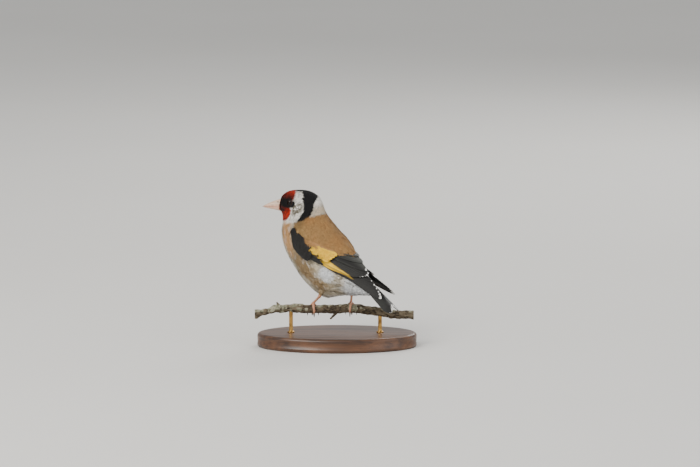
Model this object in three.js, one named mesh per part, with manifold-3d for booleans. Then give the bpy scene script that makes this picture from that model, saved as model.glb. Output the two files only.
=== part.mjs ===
// A European goldfinch at life size, perched on a cut length of twig that two short rods
// hold over an oval wooden base. Millimetres, +Z up, origin under the middle of the base.
// The bird is modelled in its own frame: x forward, y to its left, z up from the floor,
// and is then turned about Z onto the twig, which runs along X. Heights of the bird and the
// twig are given over a datum that TWIG_AXIS_Z sets, and PERCH_HEIGHT brings them down.

import * as THREE from "three";
import { mergeVertices } from "three/addons/utils/BufferGeometryUtils.js";
import Module from "manifold-3d";

const wasm = await Module();
wasm.setup();

// Driving dimensions
const GAP = 0.3; // between two pieces that touch
const BODY_TURN = 32; // degrees that the body's heading lies off the twig
const HEAD_TURN = 25; // degrees that the head is turned back towards the bird's left
const BIRD_AT = [-8, 3]; // where the bird's own origin stands on the base
const WING_LENGTH = 76; // wrist to the tip of the longest primary
const TAIL_SHOWN = 38; // of a 48 mm tail, what shows past the root
const TAIL_SLOPE = 38; // degrees below level
const TAIL_FORK = 3.6;
const BILL_LENGTH = 11.8;
const BILL_HALF_WIDTH = 3.3;
const UPPER_BILL_HEIGHT = 5.2;
const LOWER_BILL_HEIGHT = 3.2;
const EYE_RADIUS = 2.3;
const TARSUS_RADIUS = 0.72;
const TOE_RADIUS = 0.68;
const BASE_HALF_LENGTH = 52;
const BASE_HALF_WIDTH = 32;
const BASE_HEIGHT = 9;
const ROD_RADIUS = 1.3;
const ROD_AT = [-30, 28]; // along the twig
const TWIG_AXIS_Z = 34; // datum height of the twig's axis
const PERCH_HEIGHT = 24; // its height over the floor
const VANE_THICKNESS = 0.55;
const VANE_STEP = 0.24; // how much each feather stands over the one below

const rad = THREE.MathUtils.degToRad;
const V = (x, y, z) => new THREE.Vector3(x, y, z);
const clamp01 = (x) => Math.min(1, Math.max(0, x));
const smooth = (x) => clamp01(x) ** 2 * (3 - 2 * clamp01(x));
const mix = (a, b, t) => a + (b - a) * t;

// Catmull-Rom through a list of numbers, at t = 0 to length - 1
function through(values, t) {
  const last = values.length - 1;
  const i = Math.min(last - 1, Math.max(0, Math.floor(t)));
  const f = t - i;
  const p1 = values[i];
  const p2 = values[i + 1];
  const p0 = values[Math.max(0, i - 1)];
  const p3 = values[Math.min(last, i + 2)];
  const bend = (2 * p0 - 5 * p1 + 4 * p2 - p3) * f * f + (3 * p1 - p0 - 3 * p2 + p3) * f ** 3;
  return p1 + 0.5 * ((p2 - p0) * f + bend);
}

const throughPoints = (points, t) => V(...[0, 1, 2].map((k) => through(points.map((p) => p[k]), t)));

// A closed solid from points and triangles, with its faces turned outwards
function solidOf(points, triangles) {
  let volume = 0;
  for (const [a, b, c] of triangles)
    volume += points[a].dot(points[b].clone().cross(points[c]));
  const turned = volume < 0 ? triangles.map(([a, b, c]) => [a, c, b]) : triangles;
  const flat = new THREE.BufferGeometry();
  flat.setAttribute("position", new THREE.Float32BufferAttribute(points.flatMap((p) => p.toArray()), 3));
  flat.setIndex(turned.flat());
  return solidOfGeometry(flat);
}

function solidOfGeometry(geometry) {
  const bare = geometry.clone();
  bare.deleteAttribute("normal");
  bare.deleteAttribute("uv");
  const merged = mergeVertices(bare, 1e-4);
  return new wasm.Manifold(
    new wasm.Mesh({
      numProp: 3,
      vertProperties: new Float32Array(merged.attributes.position.array),
      triVerts: new Uint32Array(merged.index.array),
    }),
  );
}

// A closed solid through rings of points, each end closed by a fan to its middle
function loft(rings) {
  const sides = rings[0].length;
  const points = rings.flat();
  const triangles = [];
  for (let i = 0; i + 1 < rings.length; i++)
    for (let j = 0; j < sides; j++) {
      const k = (j + 1) % sides;
      const [a, b, c, d] = [i * sides + j, i * sides + k, (i + 1) * sides + k, (i + 1) * sides + j];
      triangles.push([a, b, c], [a, c, d]);
    }
  for (const [ring, start] of [[rings[0], 0], [rings.at(-1), (rings.length - 1) * sides]]) {
    const middle = ring.reduce((sum, p) => sum.add(p), V(0, 0, 0)).divideScalar(sides);
    points.push(middle);
    for (let j = 0; j < sides; j++) {
      const [a, b] = [start + j, start + ((j + 1) % sides)];
      triangles.push(start ? [a, b, points.length - 1] : [b, a, points.length - 1]);
    }
  }
  return solidOf(points, triangles);
}

// A thin solid: outer and inner points in rows, split into triangles alike on both faces
function slab(outer, inner) {
  const rows = outer.length;
  const columns = outer[0].length;
  const points = [...outer.flat(), ...inner.flat()];
  const under = rows * columns;
  const at = (i, j) => i * columns + j;
  const triangles = [];
  for (let i = 0; i + 1 < rows; i++)
    for (let j = 0; j + 1 < columns; j++) {
      const [a, b, c, d] = [at(i, j), at(i, j + 1), at(i + 1, j + 1), at(i + 1, j)];
      triangles.push([a, b, c], [a, c, d]);
      triangles.push([under + a, under + c, under + b], [under + a, under + d, under + c]);
    }
  const rim = [];
  for (let j = 0; j + 1 < columns; j++) rim.push([at(0, j + 1), at(0, j)]);
  for (let i = 0; i + 1 < rows; i++) rim.push([at(i, 0), at(i + 1, 0)]);
  for (let j = 0; j + 1 < columns; j++) rim.push([at(rows - 1, j), at(rows - 1, j + 1)]);
  for (let i = rows - 1; i > 0; i--) rim.push([at(i, columns - 1), at(i - 1, columns - 1)]);
  for (const [a, b] of rim) triangles.push([a, b, under + b], [a, under + b, under + a]);
  return solidOf(points, triangles);
}

const join = (solids) => solids.reduce((sum, solid) => sum.add(solid));

function largest(solid) {
  const pieces = solid.decompose();
  return pieces.reduce((best, piece) => (piece.volume() > best.volume() ? piece : best));
}

function ball(centre, radius, across = 16, down = 10) {
  const geometry = new THREE.SphereGeometry(radius, across, down);
  geometry.rotateX(Math.PI / 2);
  geometry.translate(...centre.toArray());
  return solidOfGeometry(geometry);
}

// A plate as thick as the gap, across a line through a point
function cutter(point, direction, reach) {
  const plate = new THREE.BoxGeometry(reach, reach, GAP);
  const turn = new THREE.Quaternion().setFromUnitVectors(V(0, 0, 1), direction.clone().normalize());
  plate.applyQuaternion(turn);
  plate.translate(...point.toArray());
  return solidOfGeometry(plate);
}

// A round rod with a changing radius along a path of points
function taperedRod(path, radii, sides = 8, flatten = 1) {
  let side = null;
  const rings = path.map((p, i) => {
    const along = path[Math.min(i + 1, path.length - 1)].clone().sub(path[Math.max(0, i - 1)]).normalize();
    side = side ?? (Math.abs(along.z) < 0.9 ? V(0, 0, 1) : V(1, 0, 0)).cross(along);
    side = side.clone().addScaledVector(along, -side.dot(along)).normalize();
    const up = along.clone().cross(side);
    return Array.from({ length: sides }, (_, k) => {
      const angle = (2 * Math.PI * k) / sides;
      return p
        .clone()
        .addScaledVector(side, radii[i] * Math.cos(angle))
        .addScaledVector(up, radii[i] * flatten * Math.sin(angle));
    });
  });
  return loft(rings);
}

// Flesh: sections from the tail's root to the face, in the bird's own frame. Each section
// has the middle of the back (x, z), the middle of the belly (x, z), its half width, and
// the share of the head's turn that it takes.
const SECTIONS = [
  [-29.6, 57.6, -32.4, 45.6, 5.0, 0],
  [-25.4, 63.8, -24.8, 45.0, 8.0, 0],
  [-20.4, 72.4, -13.2, 43.8, 11.2, 0],
  [-14.2, 81.4, -1.2, 42.2, 13.8, 0],
  [-8.5, 86.6, 12.0, 50.4, 15.0, 0],
  [-4.0, 91.3, 21.4, 61.2, 15.0, 0],
  [-0.4, 95.2, 28.3, 71.9, 14.2, 0],
  [1.8, 99.0, 31.1, 81.8, 12.4, 0.15],
  [3.4, 102.8, 30.4, 89.4, 10.4, 0.45],
  [6.1, 106.8, 30.2, 93.4, 9.3, 0.75],
  [11.8, 110.2, 30.6, 95.6, 8.7, 0.95],
  [19.0, 111.1, 31.0, 96.6, 8.2, 1],
  [26.0, 110.2, 31.2, 97.4, 7.1, 1],
  [30.2, 107.4, 31.4, 98.0, 5.4, 1],
  [31.4, 104.6, 31.5, 98.6, 3.4, 1],
];
const NECK = V(16.6, 0, 0); // the head turns about the upright line here
const WIDEST = 0.53; // level of the widest place, from the back down
const ROOF = 0.24; // how much narrower the rump is, above that level, under the closed wings

// The shoulder feathers end in a soft lip that runs back over the top of the wing
const LIP_HEIGHT = 2.4;
const LIP_AT = [18, 46, 61, 69, 74, 78]; // degrees from the back, at sections 2 to 7
const LIP_FADE = 32; // degrees over which it runs out towards the back
const LIP_EDGE = 16; // degrees over which it drops to the wing

function turnHead(point, share) {
  return point.sub(NECK).applyAxisAngle(V(0, 0, 1), rad(HEAD_TURN * share)).add(NECK);
}

function lipAt(t, aside) {
  const edge = through(LIP_AT, t - 2);
  const past = aside - edge;
  const across = past < 0 ? Math.exp(-((past / LIP_FADE) ** 2)) : 1 - smooth(past / LIP_EDGE);
  return LIP_HEIGHT * across * smooth((t - 1.6) / 0.9) * (1 - smooth((t - 6.0) / 1.5));
}

function fleshPoint(t, angle) {
  const [backX, backZ, bellyX, bellyZ, halfWidth, share] = SECTIONS[0].map((_, k) =>
    through(SECTIONS.map((s) => s[k]), t),
  );
  const back = V(backX, 0, backZ);
  const belly = V(bellyX, 0, bellyZ);
  const middle = back.clone().lerp(belly, WIDEST);
  const rise = Math.cos(angle);
  const round = Math.sin(angle);
  const aside = THREE.MathUtils.radToDeg(Math.acos(THREE.MathUtils.clamp(rise, -1, 1)));
  const lip = lipAt(t, aside);
  const point = middle.clone().lerp(rise > 0 ? back : belly, Math.abs(rise));
  const roof = ROOF * Math.max(0, rise) * smooth((4.5 - t) / 3.5);
  point.y += (halfWidth * (1 - roof) + lip) * round;
  point.z += lip * Math.max(0, rise);
  return turnHead(point, share);
}

function fleshSolid(grow, rings, sides) {
  const last = SECTIONS.length - 1;
  const step = 1e-3;
  return loft(
    Array.from({ length: rings }, (_, i) =>
      Array.from({ length: sides }, (_, j) => {
        const t = (last * i) / (rings - 1);
        const angle = (2 * Math.PI * j) / sides;
        const point = fleshPoint(t, angle);
        if (!grow) return point;
        const before = fleshPoint(Math.max(0, t - step), angle);
        const alongT = fleshPoint(Math.min(last, t + step), angle).sub(before);
        const round = fleshPoint(t, angle + step).sub(fleshPoint(t, angle - step));
        const out = alongT.clone().cross(round).normalize();
        if (i === 0 || i === rings - 1) out.addScaledVector(alongT.normalize(), i ? 1 : -1);
        return point.addScaledVector(out, grow);
      }),
    ),
  );
}

// The head: eye sockets with raised lids, parted from the neck
const EYE_AT = [24.1, 6.0, 103.3]; // before the head's turn
const eyeCentre = (side) => turnHead(V(EYE_AT[0], side * EYE_AT[1], EYE_AT[2]), 1);
const headSide = (side) => V(0.18, side, 0.04).normalize().applyAxisAngle(V(0, 0, 1), rad(HEAD_TURN));

function lid(side) {
  const ring = new THREE.TorusGeometry(EYE_RADIUS * 0.96, 0.55, 6, 18);
  ring.scale(1, 0.94, 1);
  ring.applyQuaternion(new THREE.Quaternion().setFromUnitVectors(V(0, 0, 1), headSide(side)));
  const out = eyeCentre(side).addScaledVector(headSide(side), EYE_RADIUS * 0.5);
  ring.translate(...out.toArray());
  return solidOfGeometry(ring);
}

function makeFlesh() {
  let whole = fleshSolid(0, 36, 26);
  for (const side of [1, -1]) {
    whole = whole.add(lid(side));
    whole = whole.subtract(ball(eyeCentre(side), EYE_RADIUS + GAP));
  }
  const neckCuts = [
    cutter(V(17.2, 3.0, 97.4), V(0.50, 0.12, 0.86), 60),
    cutter(V(14.6, 0.4, 87.0), V(0.52, 0.02, 0.85), 60),
  ];
  for (const plate of neckCuts) whole = whole.subtract(plate);
  const byHeight = whole
    .decompose()
    .filter((piece) => piece.volume() > 20)
    .sort((a, b) => a.boundingBox().max[2] - b.boundingBox().max[2]);
  return { torso: byHeight[0], neck: byHeight[1], head: byHeight[2] };
}

// The bill: two mandibles that meet on a line a little below the middle
const MOUTH_Z = 100.2;
const BILL_ROOT_X = 29.6;

function mandible(height, length, upwards) {
  const rings = [];
  const steps = 8;
  for (let i = 0; i <= steps; i++) {
    const t = i / steps;
    const taper = Math.max(0.05, (1 - t) ** 0.82);
    const tall = height * taper;
    const wide = BILL_HALF_WIDTH * Math.max(0.05, (1 - t) ** 0.9);
    const x = BILL_ROOT_X + (length + 1.6) * t;
    const mouth = MOUTH_Z + upwards * (GAP / 2) - 0.5 * (1 - t) ** 3 - 0.7 * t;
    const ring = [];
    for (let k = 0; k <= 8; k++) {
      const angle = (Math.PI * k) / 8;
      ring.push(V(x, wide * Math.cos(angle), mouth + upwards * tall * Math.sin(angle) ** 0.85));
    }
    rings.push(ring.map((p) => turnHead(p, 1)));
  }
  return loft(rings);
}

function nostril(side) {
  return ball(turnHead(V(33.0, side * 2.1, MOUTH_Z + 2.9), 1), 0.45, 8, 6);
}

// The wing: a shell bowed over the flank. Places on it are p, along from the wrist, and
// q, up across it, in millimetres, with h the height over it.
const WING_LINE = [
  [16.8, 13.4, 86.8],
  [5.5, 17.0, 79.2],
  [-11.6, 13.4, 71.0],
  [-27.2, 7.4, 61.9],
  [-47.1, 4.6, 47.4],
];
const WING_OUT = [
  [0.45, 0.90, 0.05],
  [0.10, 0.97, 0.18],
  [-0.12, 0.82, 0.50],
  [-0.24, 0.66, 0.70],
  [-0.34, 0.66, 0.66],
];
const WING_BOW = 19; // radius of the shell's curve across
// How the right wing's line lies off the left one's, at the same places
const FAR_WING_SHIFT = [
  [0, 0, 0],
  [0, 0, 0],
  [0.6, 0.3, -0.4],
  [1.2, 0.5, -0.9],
  [-5.2, 0, 2.0],
];
const wingSteps = WING_LINE.length - 1;

function wingPlace(p, q, h, side) {
  const t = (wingSteps * p) / WING_LENGTH;
  const centre = throughPoints(WING_LINE, t);
  const along = throughPoints(WING_LINE, t + 0.05).sub(throughPoints(WING_LINE, t - 0.05)).normalize();
  const out = throughPoints(WING_OUT, Math.min(t, wingSteps));
  out.addScaledVector(along, -out.dot(along)).normalize();
  const up = out.clone().cross(along);
  if (up.z < 0) up.negate();
  const turn = q / WING_BOW;
  const point = centre
    .addScaledVector(up, (WING_BOW + h) * Math.sin(turn))
    .addScaledVector(out, (WING_BOW + h) * Math.cos(turn) - WING_BOW);
  if (side > 0) return point;
  return V(point.x, -point.y, point.z).add(throughPoints(FAR_WING_SHIFT, Math.min(t, wingSteps)));
}

// A feather on the shell, from root to tip (p, q). Its height runs from rootH to tipH.
function vane(f, side, place = wingPlace) {
  const rows = f.rows ?? 5;
  const outer = [];
  const inner = [];
  for (let i = 0; i < rows; i++) {
    const t = i / (rows - 1);
    const towardsTip = Math.max(0, (t - 0.62) / 0.4);
    const shape = Math.min(1, 0.62 + 0.9 * t) * Math.sqrt(Math.max(0.05, 1 - towardsTip ** 2));
    const p = mix(f.root[0], f.tip[0], t);
    const q = mix(f.root[1], f.tip[1], t) + (f.bow ?? 0) * Math.sin(Math.PI * t);
    const h = mix(f.rootH, f.tipH, smooth(t));
    const half = (f.width / 2) * shape;
    const cross = (height) =>
      [-1, 0, 1].map((k) => place(p, q + k * half, height + (k ? 0 : 0.16), side));
    outer.push(cross(h));
    inner.push(cross(h - VANE_THICKNESS));
  }
  return slab(outer, inner);
}

const series = (count, make) => Array.from({ length: count }, (_, i) => make(i, i / (count - 1)));

const PRIMARIES = 7;
const SECONDARIES = 5;

function flightFeathers() {
  const primaries = series(PRIMARIES, (i, t) => ({
    root: [20 + 2.0 * i, -5.4 + 0.4 * i],
    tip: [WING_LENGTH - 15.5 * t ** 1.1, -0.3 + 3.4 * t],
    width: 5.8,
    bow: -1.6 + 1.0 * t,
    rootH: -2.4,
    tipH: -2.0 + VANE_STEP * i,
  }));
  const secondaries = series(SECONDARIES, (i, t) => ({
    root: [27 + i, -3.6 + 1.2 * i],
    tip: [60.5 - 0.5 * i, -1.6 + 1.5 * i],
    width: 6.0,
    rootH: -1.4,
    tipH: -2.0 + VANE_STEP * (PRIMARIES + i),
  }));
  const tertials = series(3, (i) => ({
    root: [32 + i, 2.4 + 1.4 * i],
    tip: [58.5 - 5.2 * i, 5.2 + 2.0 * i],
    width: 7.2,
    rootH: -0.6,
    tipH: -1.8 + VANE_STEP * (PRIMARIES + SECONDARIES + i),
  }));
  return [...primaries, ...secondaries, ...tertials];
}

function coverts() {
  const greater = series(4, (i, t) => ({
    root: [21 - 1.5 * t, -3.4 + 1.5 * i],
    tip: [38.5 + 2 * t, -2.6 + 1.6 * i],
    width: 4.2,
    rootH: 0,
    tipH: 0.6 + 0.12 * i,
    rows: 4,
  }));
  const primaryCoverts = series(4, (i) => ({
    root: [14 + i, -6.2 + 0.7 * i],
    tip: [37.5 - 2.8 * i, -6.2 + 0.9 * i],
    width: 3.4,
    rootH: -1.0,
    tipH: -0.6 + VANE_STEP * i,
    rows: 4,
  }));
  const alula = series(2, (i) => ({
    root: [9, -6.2 + 0.8 * i],
    tip: [27 - 4 * i, -6.4 + 1.2 * i],
    width: 3.2,
    rootH: -0.2,
    tipH: 0.4 + 0.3 * i,
    rows: 4,
  }));
  const median = series(4, (i) => ({
    root: [10, -5.2 + 1.6 * i],
    tip: [24.5 + 0.2 * i, -5.0 + 1.7 * i],
    width: 4.0,
    rootH: 0.2,
    tipH: 1.3,
    rows: 4,
  }));
  return [...greater, ...primaryCoverts, ...alula, ...median];
}

// The folded arm and its small coverts, which run on as a blade under the flight feathers
function wingCore(side) {
  const front = 0.16; // share of the length in which it swells from the wrist
  const rings = series(12, (_, t) => {
    const full = t < front ? Math.sqrt(1 - 0.97 * (1 - t / front) ** 2) : 1;
    const blade = smooth((t - 0.28) / 0.4);
    const top = full * mix(0.95, -1.0, blade);
    const deep = full * mix(-5, -2.8, blade);
    const middle = mix(-3.2, 1.2, smooth((t - 0.45) / 0.55));
    const half = full * mix(5.4, 2.6, blade);
    return Array.from({ length: 12 }, (_, k) => {
      const angle = (2 * Math.PI * k) / 12;
      const rise = Math.sin(angle);
      const h = mix((top + deep) / 2, rise > 0 ? top : deep, Math.abs(rise));
      return wingPlace(mix(-2.6, 61, t), middle + half * Math.cos(angle), h, side);
    });
  });
  return loft(rings);
}

function makeWing(side, flesh) {
  const vanes = [...flightFeathers(), ...coverts()].map((f) => vane(f, side));
  return largest(join([wingCore(side), ...vanes]).subtract(flesh));
}

// The tail: six pairs of feathers on an arched sheet, the middle pair on top
const TAIL_ROOT = [-25.4, 0, 61.0];
const TAIL_PAIRS = 6;
const tailAlong = V(-Math.cos(rad(TAIL_SLOPE)), 0, -Math.sin(rad(TAIL_SLOPE)));
const tailUp = V(-Math.sin(rad(TAIL_SLOPE)), 0, Math.cos(rad(TAIL_SLOPE)));

function tailPlace(p, q, h) {
  const arch = -0.03 * q * q;
  return V(...TAIL_ROOT).addScaledVector(tailAlong, p).addScaledVector(tailUp, h + arch).add(V(0, q, 0));
}

function makeTail(flesh) {
  const feathers = [];
  for (const side of [1, -1])
    for (let i = 0; i < TAIL_PAIRS; i++) {
      const t = i / (TAIL_PAIRS - 1);
      const notch = TAIL_FORK * (1 - t) ** 1.4 + (i === TAIL_PAIRS - 1 ? 0.8 : 0);
      feathers.push({
        root: [0, side * (0.5 + 0.35 * i)],
        tip: [TAIL_SHOWN - notch, side * (1.1 + 0.86 * i)],
        width: 5.8,
        rootH: -VANE_STEP * i,
        tipH: -VANE_STEP * i - (side < 0 ? VANE_STEP / 2 : 0),
      });
    }
  const root = series(5, (i, t) =>
    Array.from({ length: 10 }, (_, k) => {
      const angle = (2 * Math.PI * k) / 10;
      const q = mix(3.6, 2.6, t) * Math.cos(angle);
      return tailPlace(mix(-1, 13, t), q, -0.9 + mix(2.4, 0.5, t) * Math.sin(angle));
    }),
  );
  return largest(join([loft(root), ...feathers.map((f) => vane(f, 1, tailPlace))]).subtract(flesh));
}

// The twig: a bent line with knots, thorn stubs and a flared broken end on the left.
// Each place has how far along X, its height over TWIG_AXIS_Z, and its radius.
const TWIG = [
  [-53.6, -2.9, 2.9],
  [-51.2, -2.6, 2.7],
  [-48.4, -2.0, 2.0],
  [-44.6, -1.2, 2.05],
  [-40.0, 0.5, 2.7],
  [-35.4, 0.6, 2.5],
  [-31.2, 0.9, 2.35],
  [-26.0, 0.8, 3.0],
  [-21.5, 0.4, 2.85],
  [-16.0, 0.3, 2.75],
  [-10.0, 0.2, 2.7],
  [-3.0, 0.2, 2.8],
  [4.0, 0.7, 2.95],
  [9.0, 0.8, 2.95],
  [14.5, 0.4, 3.1],
  [21.0, -0.6, 2.9],
  [27.5, -1.5, 2.9],
  [34.5, -2.9, 2.85],
  [41.0, -3.4, 2.75],
  [50.0, -3.7, 2.8],
];
const KNOTS = [
  [-39.0, 2.2, 0.4, 2.0],
  [-26.0, 1.3, -0.9, 2.5],
  [-46.5, -1.0, 1.0, 1.5],
  [18.5, 1.6, -0.6, 2.0],
  [46.0, 1.0, 0.5, 2.3],
];
const THORNS = [
  [[0, 0, -1.6], [-4.4, -1.6, -6.0], 1.0],
  [[-37, 0, 2], [-39.4, 1.2, 4.5], 0.9],
  [[30, 1, 0], [33.0, 4.6, 1.0], 1.0],
];

function twigAt(x) {
  let i = TWIG.findIndex((s) => s[0] > x);
  i = i < 1 ? (i === 0 ? 1 : TWIG.length - 1) : i;
  const t = i - 1 + (x - TWIG[i - 1][0]) / (TWIG[i][0] - TWIG[i - 1][0]);
  return { z: TWIG_AXIS_Z + through(TWIG.map((s) => s[1]), t), radius: through(TWIG.map((s) => s[2]), t) };
}

const FOOT_X = { left: -15.6, right: 9.1 };

function twigSolid(grow) {
  const sides = 12;
  const rings = [];
  const [first, last] = [TWIG[0][0], TWIG.at(-1)[0]];
  const steps = 38;
  for (let i = 0; i <= steps; i++) {
    const x = mix(first, last, i / steps);
    const { z, radius } = twigAt(x);
    const calm = Math.min(...Object.values(FOOT_X).map((foot) => smooth((Math.abs(x - foot) - 3) / 4)));
    rings.push(
      Array.from({ length: sides }, (_, k) => {
        const angle = (2 * Math.PI * k) / sides;
        const ribs = 0.16 * Math.sin(3 * angle + x * 0.35) + 0.13 * Math.sin(5 * angle - x * 0.8);
        const r = radius + grow + calm * (ribs + 0.12 * Math.sin(x * 1.3));
        return V(x, r * Math.cos(angle), z + r * Math.sin(angle));
      }),
    );
  }
  return loft(rings);
}

function makeTwig() {
  const knots = KNOTS.map(([x, y, up, radius]) => ball(V(x, y, twigAt(x).z + up), radius, 8, 6));
  const thorns = THORNS.map(([from, to, radius]) => {
    const [a, b] = [from, to].map(([x, y, up]) => V(x, y, TWIG_AXIS_Z + up));
    return taperedRod([a, a.clone().lerp(b, 0.6), b], [radius, radius * 0.75, radius * 0.6], 7);
  });
  return largest(join([twigSolid(0), ...knots, ...thorns]));
}

// Feet. A toe wraps round the twig, to the far side or, the hind one, to the near side.
// curve is the radius along its claw, drift how far it spreads along the twig.
const toBird = (point) => {
  const turn = Math.PI - rad(BODY_TURN);
  return point.clone().sub(V(...BIRD_AT, 0)).applyAxisAngle(V(0, 0, 1), -turn);
};
const TOES = [
  { name: "hind", length: 7.4, claw: 6.0, curve: 12, way: -1, drift: -0.7 },
  { name: "inner", length: 7.6, claw: 4.2, curve: 5, way: 1, drift: -3.4 },
  { name: "middle", length: 10.6, claw: 4.6, curve: 5, way: 1, drift: 0.5 },
  { name: "outer", length: 8.2, claw: 4.0, curve: 5, way: 1, drift: 3.6 },
];

function toePath(foot, toe, from, to, steps, reach) {
  const outwards = foot === "left" ? -1 : 1;
  const startX = FOOT_X[foot];
  return series(steps, (_, t) => {
    const length = mix(from, to, t);
    const x = startX + outwards * toe.drift * smooth(length / reach);
    const { z, radius } = twigAt(x);
    const r = radius + GAP + TOE_RADIUS + 0.12;
    const angle = toe.way * (length / r);
    return V(x, r * Math.sin(angle), z + r * Math.cos(angle));
  });
}

function clawPath(toeEnd, before, toe) {
  const along = toeEnd.clone().sub(before).normalize();
  const { z } = twigAt(toeEnd.x);
  const inwards = V(toeEnd.x, 0, z).sub(toeEnd);
  inwards.addScaledVector(along, -inwards.dot(along)).normalize();
  return series(6, (_, t) => {
    const turn = mix(GAP, toe.claw, t) / toe.curve;
    return toeEnd
      .clone()
      .addScaledVector(along, toe.curve * Math.sin(turn))
      .addScaledVector(inwards, toe.curve * (1 - Math.cos(turn)));
  });
}

function makeFoot(foot) {
  const nodes = {};
  const { z, radius } = twigAt(FOOT_X[foot]);
  const padAt = V(FOOT_X[foot], 0, z + radius + GAP + 0.95);
  const pieces = [ball(padAt, 0.98, 10, 8)];
  for (const toe of TOES) {
    const path = toePath(foot, toe, 0.2, toe.length, 9, toe.length);
    const radii = path.map((_, i) => TOE_RADIUS * mix(1.05, 0.78, i / (path.length - 1)));
    pieces.push(taperedRod(path, radii, 8));
    const claw = clawPath(path.at(-1), path.at(-2), toe);
    const taper = claw.map((_, i) => mix(0.46, 0.1, i / (claw.length - 1)));
    nodes[`claw_${toe.name}_${foot}`] = taperedRod(claw, taper, 6);
  }
  nodes[`foot_${foot}`] = largest(join(pieces));
  return { nodes, padAt };
}

// Where each shank leaves the feathers, in the bird's own frame, and the thigh above it
const LEGS = {
  left: { heel: [-1.2, 8.2, 43.4], thigh: [-4.0, 8.4, 52.0] },
  right: { heel: [-16.6, -6.5, 43.8], thigh: [-12.5, -7.0, 52.0] },
};

function makeLeg(foot, padAt, flesh) {
  const { heel, thigh } = LEGS[foot];
  const [ankle, knee] = [V(...heel), V(...thigh)];
  const pad = toBird(padAt);
  const down = pad.clone().sub(ankle).normalize();
  const low = pad.clone().addScaledVector(down, -(0.98 + GAP));
  const shank = series(6, (_, t) => ankle.clone().lerp(low, t));
  const swell = [1.25, 0.95, 0.88, 0.86, 0.95, 1.1];
  const path = series(6, (_, t) => knee.clone().lerp(ankle.clone().addScaledVector(down, -0.1), t));
  const fluff = [3.6, 3.7, 3.4, 2.8, 2.0, 1.2];
  const shankSolid = taperedRod(shank, swell.map((s) => s * TARSUS_RADIUS), 8);
  const fluffSolid = taperedRod(path, fluff, 12);
  const cut = cutter(ankle.clone().addScaledVector(down, 0.1), down, 5);
  return {
    [`thigh_${foot}`]: largest(fluffSolid.subtract(flesh).subtract(cut)),
    [`shank_${foot}`]: largest(shankSolid.subtract(flesh).subtract(fluffSolid).subtract(cut)),
  };
}

// The stand
function makeBase() {
  const outline = new THREE.Shape();
  const bevel = 1.4;
  outline.absellipse(0, 0, BASE_HALF_LENGTH - bevel, BASE_HALF_WIDTH - bevel, 0, 2 * Math.PI);
  const plinth = new THREE.ExtrudeGeometry(outline, {
    depth: BASE_HEIGHT - 2 * bevel,
    bevelEnabled: true,
    bevelThickness: bevel,
    bevelSize: bevel,
    bevelSegments: 3,
    curveSegments: 28,
  });
  plinth.translate(0, 0, bevel);
  return solidOfGeometry(plinth);
}

function makeRod(x, twigRoom) {
  const height = PERCH_HEIGHT - BASE_HEIGHT - GAP;
  const rod = new THREE.CylinderGeometry(ROD_RADIUS, ROD_RADIUS, height, 20);
  rod.rotateX(Math.PI / 2);
  rod.translate(x, 0, BASE_HEIGHT + GAP + height / 2);
  return largest(solidOfGeometry(rod).subtract(twigRoom));
}

// Colours of the bare materials
const PAINT = {
  brown: [0xa98260, 0.9],
  crimson: [0x9c2a20, 0.85],
  pale: [0xcfc4b4, 0.9],
  black: [0x232323, 0.7],
  horn: [0xe3c9b4, 0.45],
  skin: [0xc98f78, 0.6],
  claw: [0x6d5548, 0.4],
  eye: [0x120d0a, 0.08],
  bark: [0x7a6f60, 0.95],
  wood: [0x4d3524, 0.5],
  metal: [0xb08d57, 0.35],
};

function mesh(name, solid, paint) {
  const { vertProperties, triVerts, numProp } = solid.getMesh();
  const positions = new Float32Array((vertProperties.length / numProp) * 3);
  for (let i = 0; i < positions.length / 3; i++)
    positions.set(vertProperties.subarray(i * numProp, i * numProp + 3), i * 3);
  const geometry = new THREE.BufferGeometry();
  geometry.setAttribute("position", new THREE.BufferAttribute(positions, 3));
  geometry.setIndex(new THREE.BufferAttribute(new Uint32Array(triVerts), 1));
  geometry.computeVertexNormals();
  const [color, roughness] = PAINT[paint];
  const metalness = paint === "metal" ? 1 : 0;
  const material = new THREE.MeshStandardMaterial({ color, roughness, metalness });
  const made = new THREE.Mesh(geometry, material);
  made.name = name;
  return made;
}

const bird = new THREE.Group();
bird.rotation.z = Math.PI - rad(BODY_TURN);
bird.position.set(...BIRD_AT, 0);
const perched = new THREE.Group();
perched.position.z = PERCH_HEIGHT - TWIG_AXIS_Z;
const stand = new THREE.Group();

const room = fleshSolid(GAP + 0.05, 36, 26);
const flesh = makeFlesh();
bird.add(mesh("head", flesh.head, "crimson"));
bird.add(mesh("neck", flesh.neck, "pale"));
bird.add(mesh("torso", flesh.torso, "brown"));
let upperBill = mandible(UPPER_BILL_HEIGHT, BILL_LENGTH, 1).subtract(room);
for (const side of [1, -1]) upperBill = upperBill.subtract(nostril(side));
bird.add(mesh("bill_upper", largest(upperBill), "horn"));
const lowerBill = mandible(LOWER_BILL_HEIGHT, BILL_LENGTH - 0.8, -1).subtract(room);
bird.add(mesh("bill_lower", largest(lowerBill), "horn"));
for (const [name, side] of [["left", 1], ["right", -1]]) {
  bird.add(mesh(`eye_${name}`, ball(eyeCentre(side), EYE_RADIUS), "eye"));
  bird.add(mesh(`wing_${name}`, makeWing(side, room), "black"));
}
bird.add(mesh("tail", makeTail(room), "black"));
for (const foot of ["left", "right"]) {
  const { nodes, padAt } = makeFoot(foot);
  for (const [name, solid] of Object.entries(nodes))
    perched.add(mesh(name, solid, name.startsWith("claw") ? "claw" : "skin"));
  for (const [name, solid] of Object.entries(makeLeg(foot, padAt, room)))
    bird.add(mesh(name, solid, name.startsWith("thigh") ? "pale" : "skin"));
}
perched.add(mesh("perch", makeTwig(), "bark"));
stand.add(mesh("stand_base", makeBase(), "wood"));
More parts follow.
